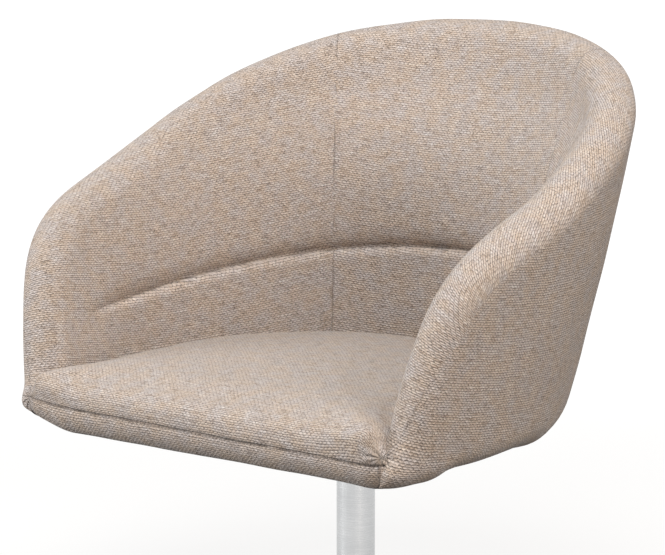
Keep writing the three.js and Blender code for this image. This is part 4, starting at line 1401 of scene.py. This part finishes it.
def edge_radius(loop):
    """The edge's roundness round the outline: full in front, less at the arms, least at the back."""
    side = lerp(SIDE_EDGE_RADIUS, BACK_EDGE_RADIUS, smooth(loop[:, 1], *SIDE_TO_BACK))
    front = lerp(FRONT_ROLL, CORNER_ROLL, smooth(np.abs(loop[:, 0]), *MIDDLE_TO_CORNER))
    return lerp(front, side, smooth(loop[:, 1], *FRONT_TO_SIDE))


def crown_height(points, loop):
    """The crowned top's height over the crease: full in the middle, none at the outline."""
    rim_angle = np.unwrap(np.arctan2(*(loop - SEAT_CENTRE).T[::-1]))
    rim_reach = np.linalg.norm(loop - SEAT_CENTRE, axis=1)
    order = np.argsort(rim_angle % (2 * math.pi))
    angle = np.arctan2(*(points - SEAT_CENTRE).T[::-1]) % (2 * math.pi)
    reach = np.interp(angle, rim_angle[order] % (2 * math.pi), rim_reach[order], period=2 * math.pi)
    share = np.linalg.norm(points - SEAT_CENTRE, axis=1) / reach
    return SEAT_CROWN * (1 - np.clip(share, 0, 1) ** 2)


def spanned(front, right, back, left):
    """A grid spanned between four curves."""
    a = np.linspace(0, 1, len(front))[None, :, None]
    b = np.linspace(0, 1, len(right))[:, None, None]
    ruled = lerp(front[None], back[None], b) + lerp(left[:, None], right[:, None], a)
    corners = lerp(lerp(front[0], front[-1], a), lerp(back[0], back[-1], a), b)
    return ruled - corners


def edge_rings(loop, wide_loop):
    """The rings of the seat's edge: round the roll, down to the front seam and in under it."""
    outward = outward_of(loop)
    radius = edge_radius(loop)
    rings = []
    for turn in np.linspace(math.pi / 2, 0, EDGE_ROWS):
        place = loop - outward * (radius * (1 - math.cos(turn)))[:, None]
        level = SEAT_BASE + crown_height(place, loop) - radius * (1 - math.sin(turn))
        rings.append(np.column_stack([place, level]))
    rolled_end = rings[-1][:, 2]
    for share in np.linspace(0, 1, SKIRT_ROWS + 1)[1:]:
        level = lerp(rolled_end, SEAM_LEVEL, share)
        draw = SEAM_DRAW * bell(level - SEAM_LEVEL, SEAM_REACH)
        edge = lerp(loop, wide_loop, smooth(share))
        rings.append(np.column_stack([edge - outward * draw[:, None], level]))
    rings.append(np.column_stack([edge - outward * SEAM_LAP_INSET, level - SEAM_LAP]))
    return np.array(rings)


def top_places(first_ring):
    """The top's points in plan, spanned between the four sides of its outline."""
    cuts = np.cumsum([0, SEAT_ACROSS - 1, SEAT_ALONG - 1, SEAT_ACROSS - 1, SEAT_ALONG - 1])
    closed = np.concatenate([first_ring, first_ring[:1]])[:, :2]
    front, right, back, left = (closed[start:end + 1] for start, end in zip(cuts, cuts[1:]))
    return spanned(front, right, back[::-1], left[::-1]).reshape(-1, 2)


def rim_of(grid):
    """The numbers round the edge of a grid, from its first corner and back to it."""
    return np.concatenate([grid[0], grid[1:, -1], grid[-1, ::-1][1:], grid[::-1, 0][1:-1]])


def seat_faces(ring_count):
    """Faces over the top's grid and between the rings below it, and the last ring's point numbers."""
    grid = np.arange(SEAT_ALONG * SEAT_ACROSS).reshape(SEAT_ALONG, SEAT_ACROSS)
    faces = [grid_faces(SEAT_ALONG, SEAT_ACROSS)]
    previous = rim_of(grid)
    for k in range(ring_count):
        current = grid.size + k * len(previous) + np.arange(len(previous))
        faces.append(np.stack([previous, current, np.roll(current, -1), np.roll(previous, -1)], axis=-1))
        previous = current
    return np.concatenate(faces), previous


def seat_cover():
    loop = loop_of(*seat_boundary(TIGHT_CORNER))
    rings = edge_rings(loop, loop_of(*seat_boundary(WIDE_CORNER)))
    flat = top_places(rings[0])
    top = np.column_stack([flat, SEAT_BASE + crown_height(flat, loop)])
    ring_uvs = rings[0][:, :2] + outward_of(loop) * run_along(rings)[..., None]
    points = np.concatenate([top, *rings[1:]])
    uvs = np.concatenate([flat, *ring_uvs[1:]])
    faces, last_ring = seat_faces(len(rings) - 1)
    faces, corner_uvs = closed_with([last_ring[::-1]], faces, uvs[faces])
    piece = make_piece("seat_cover", points, faces, corner_uvs, tweed)
    inflate(piece, 1 - smooth(points[:, 2], SEAM_LEVEL + SWELL_START, SEAT_BASE))
    refined(piece)
    set_distance(piece, "seam", points_of(piece)[:, 2] - SEAM_LEVEL)
    move_points(piece, rounded_below(points_of(piece)))
    return uneven(piece)


seat_piece = seat_cover()

# %% [markdown]
# ## The border under the front seam
#
# Below the front seam a narrow padded border wraps round the board's front edge. It follows the seat's
# outline round both corners and ends against the arms.

# %% Border cover
BORDER_LAP = 0.030
BORDER_SEAM_X = 0.277
BORDER_UNDER = 0.012
BORDER_STATIONS, BORDER_ARC_POINTS, BORDER_ROWS = 110, 24, 14
BORDER_ROLL = FRONT_ROLL * 0.8
BORDER_CROWDING = 1.5


def border_path():
    """The border's line in plan, from inside the left arm's tip round the front to the right one."""
    arc = corner_arc(WIDE_CORNER, 0, 1, BORDER_ARC_POINTS)
    return resampled(np.concatenate([arc[::-1] * [-1, 1], arc]), BORDER_STATIONS)


def border_profile():
    """Each row's height over the underside, and how far it lies inside the seat's outline."""
    shown = FRONT_SEAM * (1 - np.linspace(0, 1, BORDER_ROWS) ** BORDER_CROWDING)
    rolled = BORDER_ROLL * rounding(1 - np.minimum(shown / FRONT_ROLL, 1))
    drawn = SEAM_DRAW * bell(shown - FRONT_SEAM, SEAM_REACH)
    heights = [FRONT_SEAM + SEAM_LAP, *shown, 0, BOARD_FOOT, BOARD_TOP]
    return zip(heights, [SEAM_LAP_INSET, *(rolled + drawn), BORDER_LAP, BORDER_LAP, BORDER_UNDER])


def border_cover():
    path = border_path()
    outward = unit(turned_right(np.gradient(path, axis=0)))
    level = UNDERSIDE + 0 * path[:, 0]
    points = np.array([np.column_stack([path - outward * inset, level + height])
                       for height, inset in border_profile()])
    rows, columns = points.shape[:2]
    faces = grid_faces(rows, columns, wrap_rows=True)
    down = run_along(points)
    uv = np.stack([run_along(path) + 0 * down, -down], axis=-1).reshape(-1, 2)
    faces, uvs = closed_with(end_loops(rows, columns), faces, uv[faces])
    piece = refined(make_piece("border_cover", points.reshape(-1, 3), faces, uvs, tweed))
    places = points_of(piece)
    below_seam = np.abs(SEAM_LEVEL - places[:, 2])
    set_distance(piece, "seam", np.minimum(below_seam, BORDER_SEAM_X - np.abs(places[:, 0])))
    move_points(piece, rounded_below(places))
    return uneven(piece)


border_piece = border_cover()

# %% [markdown]
# ## Rows of small things
#
# Weld beads, staples and stray wool fibres repeat by the hundred, so Geometry Nodes set them out. One tree
# puts a small shape at even steps along lines: with a drop of metal it makes the welds of the foot and of
# the plate, with a flat bar the staples that hold the lining. Another scatters thin spikes over the cloth.
# The welds and staples aren't in the photograph. They are how such a foot and such a lining are fastened.

# %% Trees for rows and fibres
FLOAT, WHOLE = "NodeSocketFloat", "NodeSocketInt"
BALL = {"Segments": 8, "Rings": 5, "Radius": 0.5}
SPIKE_SIDES = 3
LEAN_SEED, STRETCH_SEED, STRETCH_LEAST = 5, 11, 0.4


def new_tree(name, inputs):
    """A geometry tree with named inputs, and its first node."""
    tree = bpy.data.node_groups.new(name, "GeometryNodeTree")
    tree.interface.new_socket("Geometry", in_out="INPUT", socket_type="NodeSocketGeometry")
    tree.interface.new_socket("Geometry", in_out="OUTPUT", socket_type="NodeSocketGeometry")
    for input_name, kind in inputs.items():
        tree.interface.new_socket(input_name, in_out="INPUT", socket_type=kind)
    net = Net(tree)
    return tree, net, net.node("NodeGroupInput")


def end_tree(net, instances, material):
    """Makes the instances real, gives them their material and closes the tree."""
    real = net.node("GeometryNodeRealizeInstances", None, {"Geometry": instances})
    painted = net.node("GeometryNodeSetMaterial", None, {"Geometry": real, "Material": material})
    net.node("NodeGroupOutput", None, {"Geometry": painted})


def random_share(net, least, seed):
    """A random number from the least to 1 for each place."""
    return net.node("FunctionNodeRandomValue", None, {2: least, 3: 1.0, 8: seed}, 1)


def row_tree(name, kind, material):
    """Sets a small ball or bar at even steps along every line of a mesh."""
    sizes = dict.fromkeys(("Spacing", "Length", "Width", "Height", "Unevenness"), FLOAT)
    inputs = {**sizes, "Seed": WHOLE}
    tree, net, given = new_tree(name, inputs)
    curve = net.node("GeometryNodeMeshToCurve", None, {"Mesh": given})
    settings = {"mode": "LENGTH"}
    steps = net.node("GeometryNodeResampleCurve", settings, {"Curve": curve, "Length": given.out("Spacing")})
    along = net.node("GeometryNodeInputTangent")
    turn = net.node("FunctionNodeAlignRotationToVector", {"axis": "X"}, {"Vector": along})
    if kind == "ball":
        ball = net.node("GeometryNodeMeshUVSphere", None, BALL)
        shape = net.node("GeometryNodeSetShadeSmooth", None, {"Geometry": ball})
    else:
        shape = net.node("GeometryNodeMeshCube", None, {"Size": (1, 1, 1)})
    wobble = random_share(net, 1 - given.out("Unevenness"), given.out("Seed"))
    sizes = net.join(given.out("Length"), given.out("Width") * wobble, given.out("Height") * wobble)
    settings = {"Points": steps, "Instance": shape, "Rotation": turn, "Scale": sizes}
    placed = net.node("GeometryNodeInstanceOnPoints", None, settings)
    end_tree(net, placed, material)
    return tree


def fibre_tree(name, material):
    """Scatters thin leaning spikes over a surface."""
    inputs = {**dict.fromkeys(("Density", "Length", "Radius", "Lean"), FLOAT), "Seed": WHOLE}
    tree, net, given = new_tree(name, inputs)
    spots = {"Mesh": given, "Density": given.out("Density"), "Seed": given.out("Seed")}
    points = net.node("GeometryNodeDistributePointsOnFaces", None, spots)
    sizes = {"Radius Top": 0.0, "Radius Bottom": given.out("Radius"), "Depth": given.out("Length")}
    spike = net.node("GeometryNodeMeshCone", None, {"Vertices": SPIKE_SIDES, **sizes})
    most = net.join(given.out("Lean"), given.out("Lean"), math.pi)
    least = net.vector_maths("SCALE", most)
    least.owner.inputs["Scale"].default_value = -1
    leans = {0: least, 1: most, 8: LEAN_SEED}
    lean = net.node("FunctionNodeRandomValue", {"data_type": "FLOAT_VECTOR"}, leans)
    turned = {"Rotation": points.out("Rotation"), "Rotate By": lean}
    turn = net.node("FunctionNodeRotateRotation", {"rotation_space": "LOCAL"}, turned)
    stretch = random_share(net, STRETCH_LEAST, STRETCH_SEED)
    placed = {"Points": points, "Instance": spike, "Rotation": turn, "Scale": net.join(1.0, 1.0, stretch)}
    end_tree(net, net.node("GeometryNodeInstanceOnPoints", None, placed), material)
    return tree


print("tree builders ready")


# %% Running a tree
def grown(name, base_mesh, tree, values, body):
    """Runs a geometry tree on a mesh and keeps the result as a plain mesh on a body."""
    piece = bpy.data.objects.new(name, base_mesh)
    scene.collection.objects.link(piece)
    modifier = piece.modifiers.new("grown", "NODES")
    modifier.node_group = tree
    for item in tree.interface.items_tree:
        if item.in_out == "INPUT" and item.name in values:
            modifier[item.identifier] = values[item.name]
    piece.data = settled_mesh(piece)
    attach(piece, body)
    print(name, "faces", len(piece.data.polygons))


def lines_mesh(name, lines, closed):
    """A mesh of bare lines, each given as a row of points."""
    points, edges = [], []
    for line in lines:
        first = len(points)
        points += [list(map(float, point)) for point in line]
        edges += [(k, k + 1) for k in range(first, len(points) - 1)]
        if closed:
            edges.append((len(points) - 1, first))
    mesh = bpy.data.meshes.new(name)
    mesh.from_pydata(points, edges, [])
    return mesh


print("trees can run")

# %% [markdown]
# ## Welds, staples and fibres
#
# A weld runs up one side of each arm's root, across its top and down the other side. Under the plate, beads
# run along the gussets' feet and round the boss. The staples follow the lining's edge.

# %% Lines that the rows follow
HUB_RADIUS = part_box("star_hub")[1][0]
ARM_ROOT_LOW, ARM_ROOT_HIGH = 0.0297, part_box("star_arm_1")[1][2]
ARM_HALF_TURN = math.radians(22.7)
GUSSET_LOW, GUSSET_HIGH = (np.array(corner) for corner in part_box("plate_gusset_1"))
BOSS_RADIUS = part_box("spindle_boss")[1][0]
BEAD = {"Spacing": 0.0019, "Length": 0.0038, "Width": 0.0044, "Height": 0.0036, "Unevenness": 0.2, "Seed": 3}
STAPLE = {"Spacing": 0.046, "Length": 0.012, "Width": 0.0013, "Height": 0.0011, "Unevenness": 0.0, "Seed": 1}
STAPLE_INSET = 0.007
LINING_HOLE_REACH = 0.19
FIBRE = {"Density": 7000.0, "Length": 0.0026, "Radius": 0.00009, "Lean": 1.1, "Seed": 2}
QUARTERS = [math.radians(90 * k) for k in range(4)]
FIRST_ARM = math.radians(45)
ROOT_SIDE_POINTS, ROOT_TOP_POINTS, BOSS_POINTS = 6, 12, 48
SAME_LEVEL = 1e-4
RIM_STEP = math.radians(3)
FIBRE_TONES, FIBRE_ROUGHNESS, FIBRE_PATCHES = ((176, 160, 146), (224, 213, 203)), 0.9, 260.0


def round_z(points, angle):
    """The points turned about the column's axis."""
    c, s = math.cos(angle), math.sin(angle)
    return np.asarray(points) @ np.array([[c, s, 0], [-s, c, 0], [0, 0, 1]])


def arm_root_line():
    """Up one side of an arm's root, over its top and down the other side, for an arm along +X."""
    across = np.linspace(-ARM_HALF_TURN, ARM_HALF_TURN, ROOT_TOP_POINTS)
    side = np.ones(ROOT_SIDE_POINTS) * ARM_HALF_TURN
    turns = np.concatenate([-side, across, side])
    rise = np.linspace(ARM_ROOT_LOW, ARM_ROOT_HIGH, ROOT_SIDE_POINTS)
    heights = np.concatenate([rise, ARM_ROOT_HIGH + 0 * across, rise[::-1]])
    return round_line(HUB_RADIUS, turns, heights)


def gusset_lines():
    """Along a gusset's foot on the plate, on both of its faces, for a gusset along +X."""
    ends = np.array([GUSSET_LOW[0], GUSSET_HIGH[0]])
    return [np.column_stack([ends, [y, y], [GUSSET_HIGH[2]] * 2]) for y in (GUSSET_LOW[1], GUSSET_HIGH[1])]


def round_line(radius, turns, heights):
    """Points at a radius round the column's axis."""
    return np.column_stack([radius * np.cos(turns), radius * np.sin(turns), heights])


def boss_line():
    turns = np.linspace(0, 2 * math.pi, BOSS_POINTS, endpoint=False)
    return round_line(BOSS_RADIUS, turns, GUSSET_HIGH[2] + 0 * turns)


def lining_edge():
    """The lining's edge, moved inwards a little."""
    corners = points_of(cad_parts["dust_cover"])
    lowest = corners[corners[:, 2] < corners[:, 2].min() + SAME_LEVEL]
    centre = (lowest.max(axis=0) + lowest.min(axis=0)) / 2
    away = lowest - centre
    away = away[np.linalg.norm(away[:, :2], axis=1) > LINING_HOLE_REACH]
    sector = np.round(np.arctan2(away[:, 1], away[:, 0]) / RIM_STEP).astype(int)
    reach = np.linalg.norm(away[:, :2], axis=1)
    rim = [away[sector == k][np.argmax(reach[sector == k])] for k in np.unique(sector)]
    return [centre + place * (1 - STAPLE_INSET / np.linalg.norm(place)) for place in rim]


def joined_mesh(name, pieces):
    """All the pieces' points and faces in one mesh."""
    points, faces = [], []
    for piece in pieces:
        first = len(points)
        points += points_of(piece).tolist()
        faces += [[first + corner for corner in face.vertices] for face in piece.data.polygons]
    mesh = bpy.data.meshes.new(name)
    mesh.from_pydata(points, [], faces)
    return mesh


def wool():
    """One stray fibre's colour changes from place to place."""
    material, net = new_material("wool_fibre")
    shade = noise_at(net, object_place(net), FIBRE_PATCHES)
    finish_material(net, two_tones(net, shade, *FIBRE_TONES), FIBRE_ROUGHNESS)
    return material


print("lining's edge", len(lining_edge()), "points")

# %% Welds, staples and fibres
bead_tree = row_tree("bead_row", "ball", satin_steel)
black_bead_tree = row_tree("black_bead_row", "ball", black_coat)
staple_tree = row_tree("staple_row", "bar", zinc_steel)
plate_lines = [round_z(line, turn) for turn in QUARTERS for line in gusset_lines()]
foot_lines = [round_z(arm_root_line(), FIRST_ARM + turn) for turn in QUARTERS]
# Each row: its lines, whether they are closed, its tree, its sizes and the body that it belongs to
ROWS = {
    "foot_welds": (foot_lines, False, bead_tree, BEAD, "base"),
    "plate_welds": (plate_lines, False, black_bead_tree, BEAD, "seat"),
    "boss_weld": ([boss_line()], True, black_bead_tree, BEAD, "seat"),
    "lining_staples": ([lining_edge()], True, staple_tree, STAPLE, "seat"),
}
for row_name, (lines, closed, tree, sizes, body) in ROWS.items():
    grown(row_name, lines_mesh(row_name, lines, closed), tree, sizes, body)
all_cloth = joined_mesh("stray_fibres", (tub_cover, back_cover, seat_piece, border_piece))
grown("stray_fibres", all_cloth, fibre_tree("fibre_scatter", wool()), FIBRE, "seat")

# %% [markdown]
# ## The covers in place of the solids
#
# Each cover rides on the seat's body and takes the place of its CAD solid. Its fill says how full of foam
# it is.

# %% Covers in place of the solids
COVERS = {
    tub_cover: ("tub_padding", 0.8),
    back_cover: ("lower_back_pad", 0.7),
    seat_piece: ("seat_cushion", 0.8),
    border_piece: ("front_border", 0.6),
}
for cover, (stands_for, fill) in COVERS.items():
    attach(cover, "seat")
    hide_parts(stands_for)
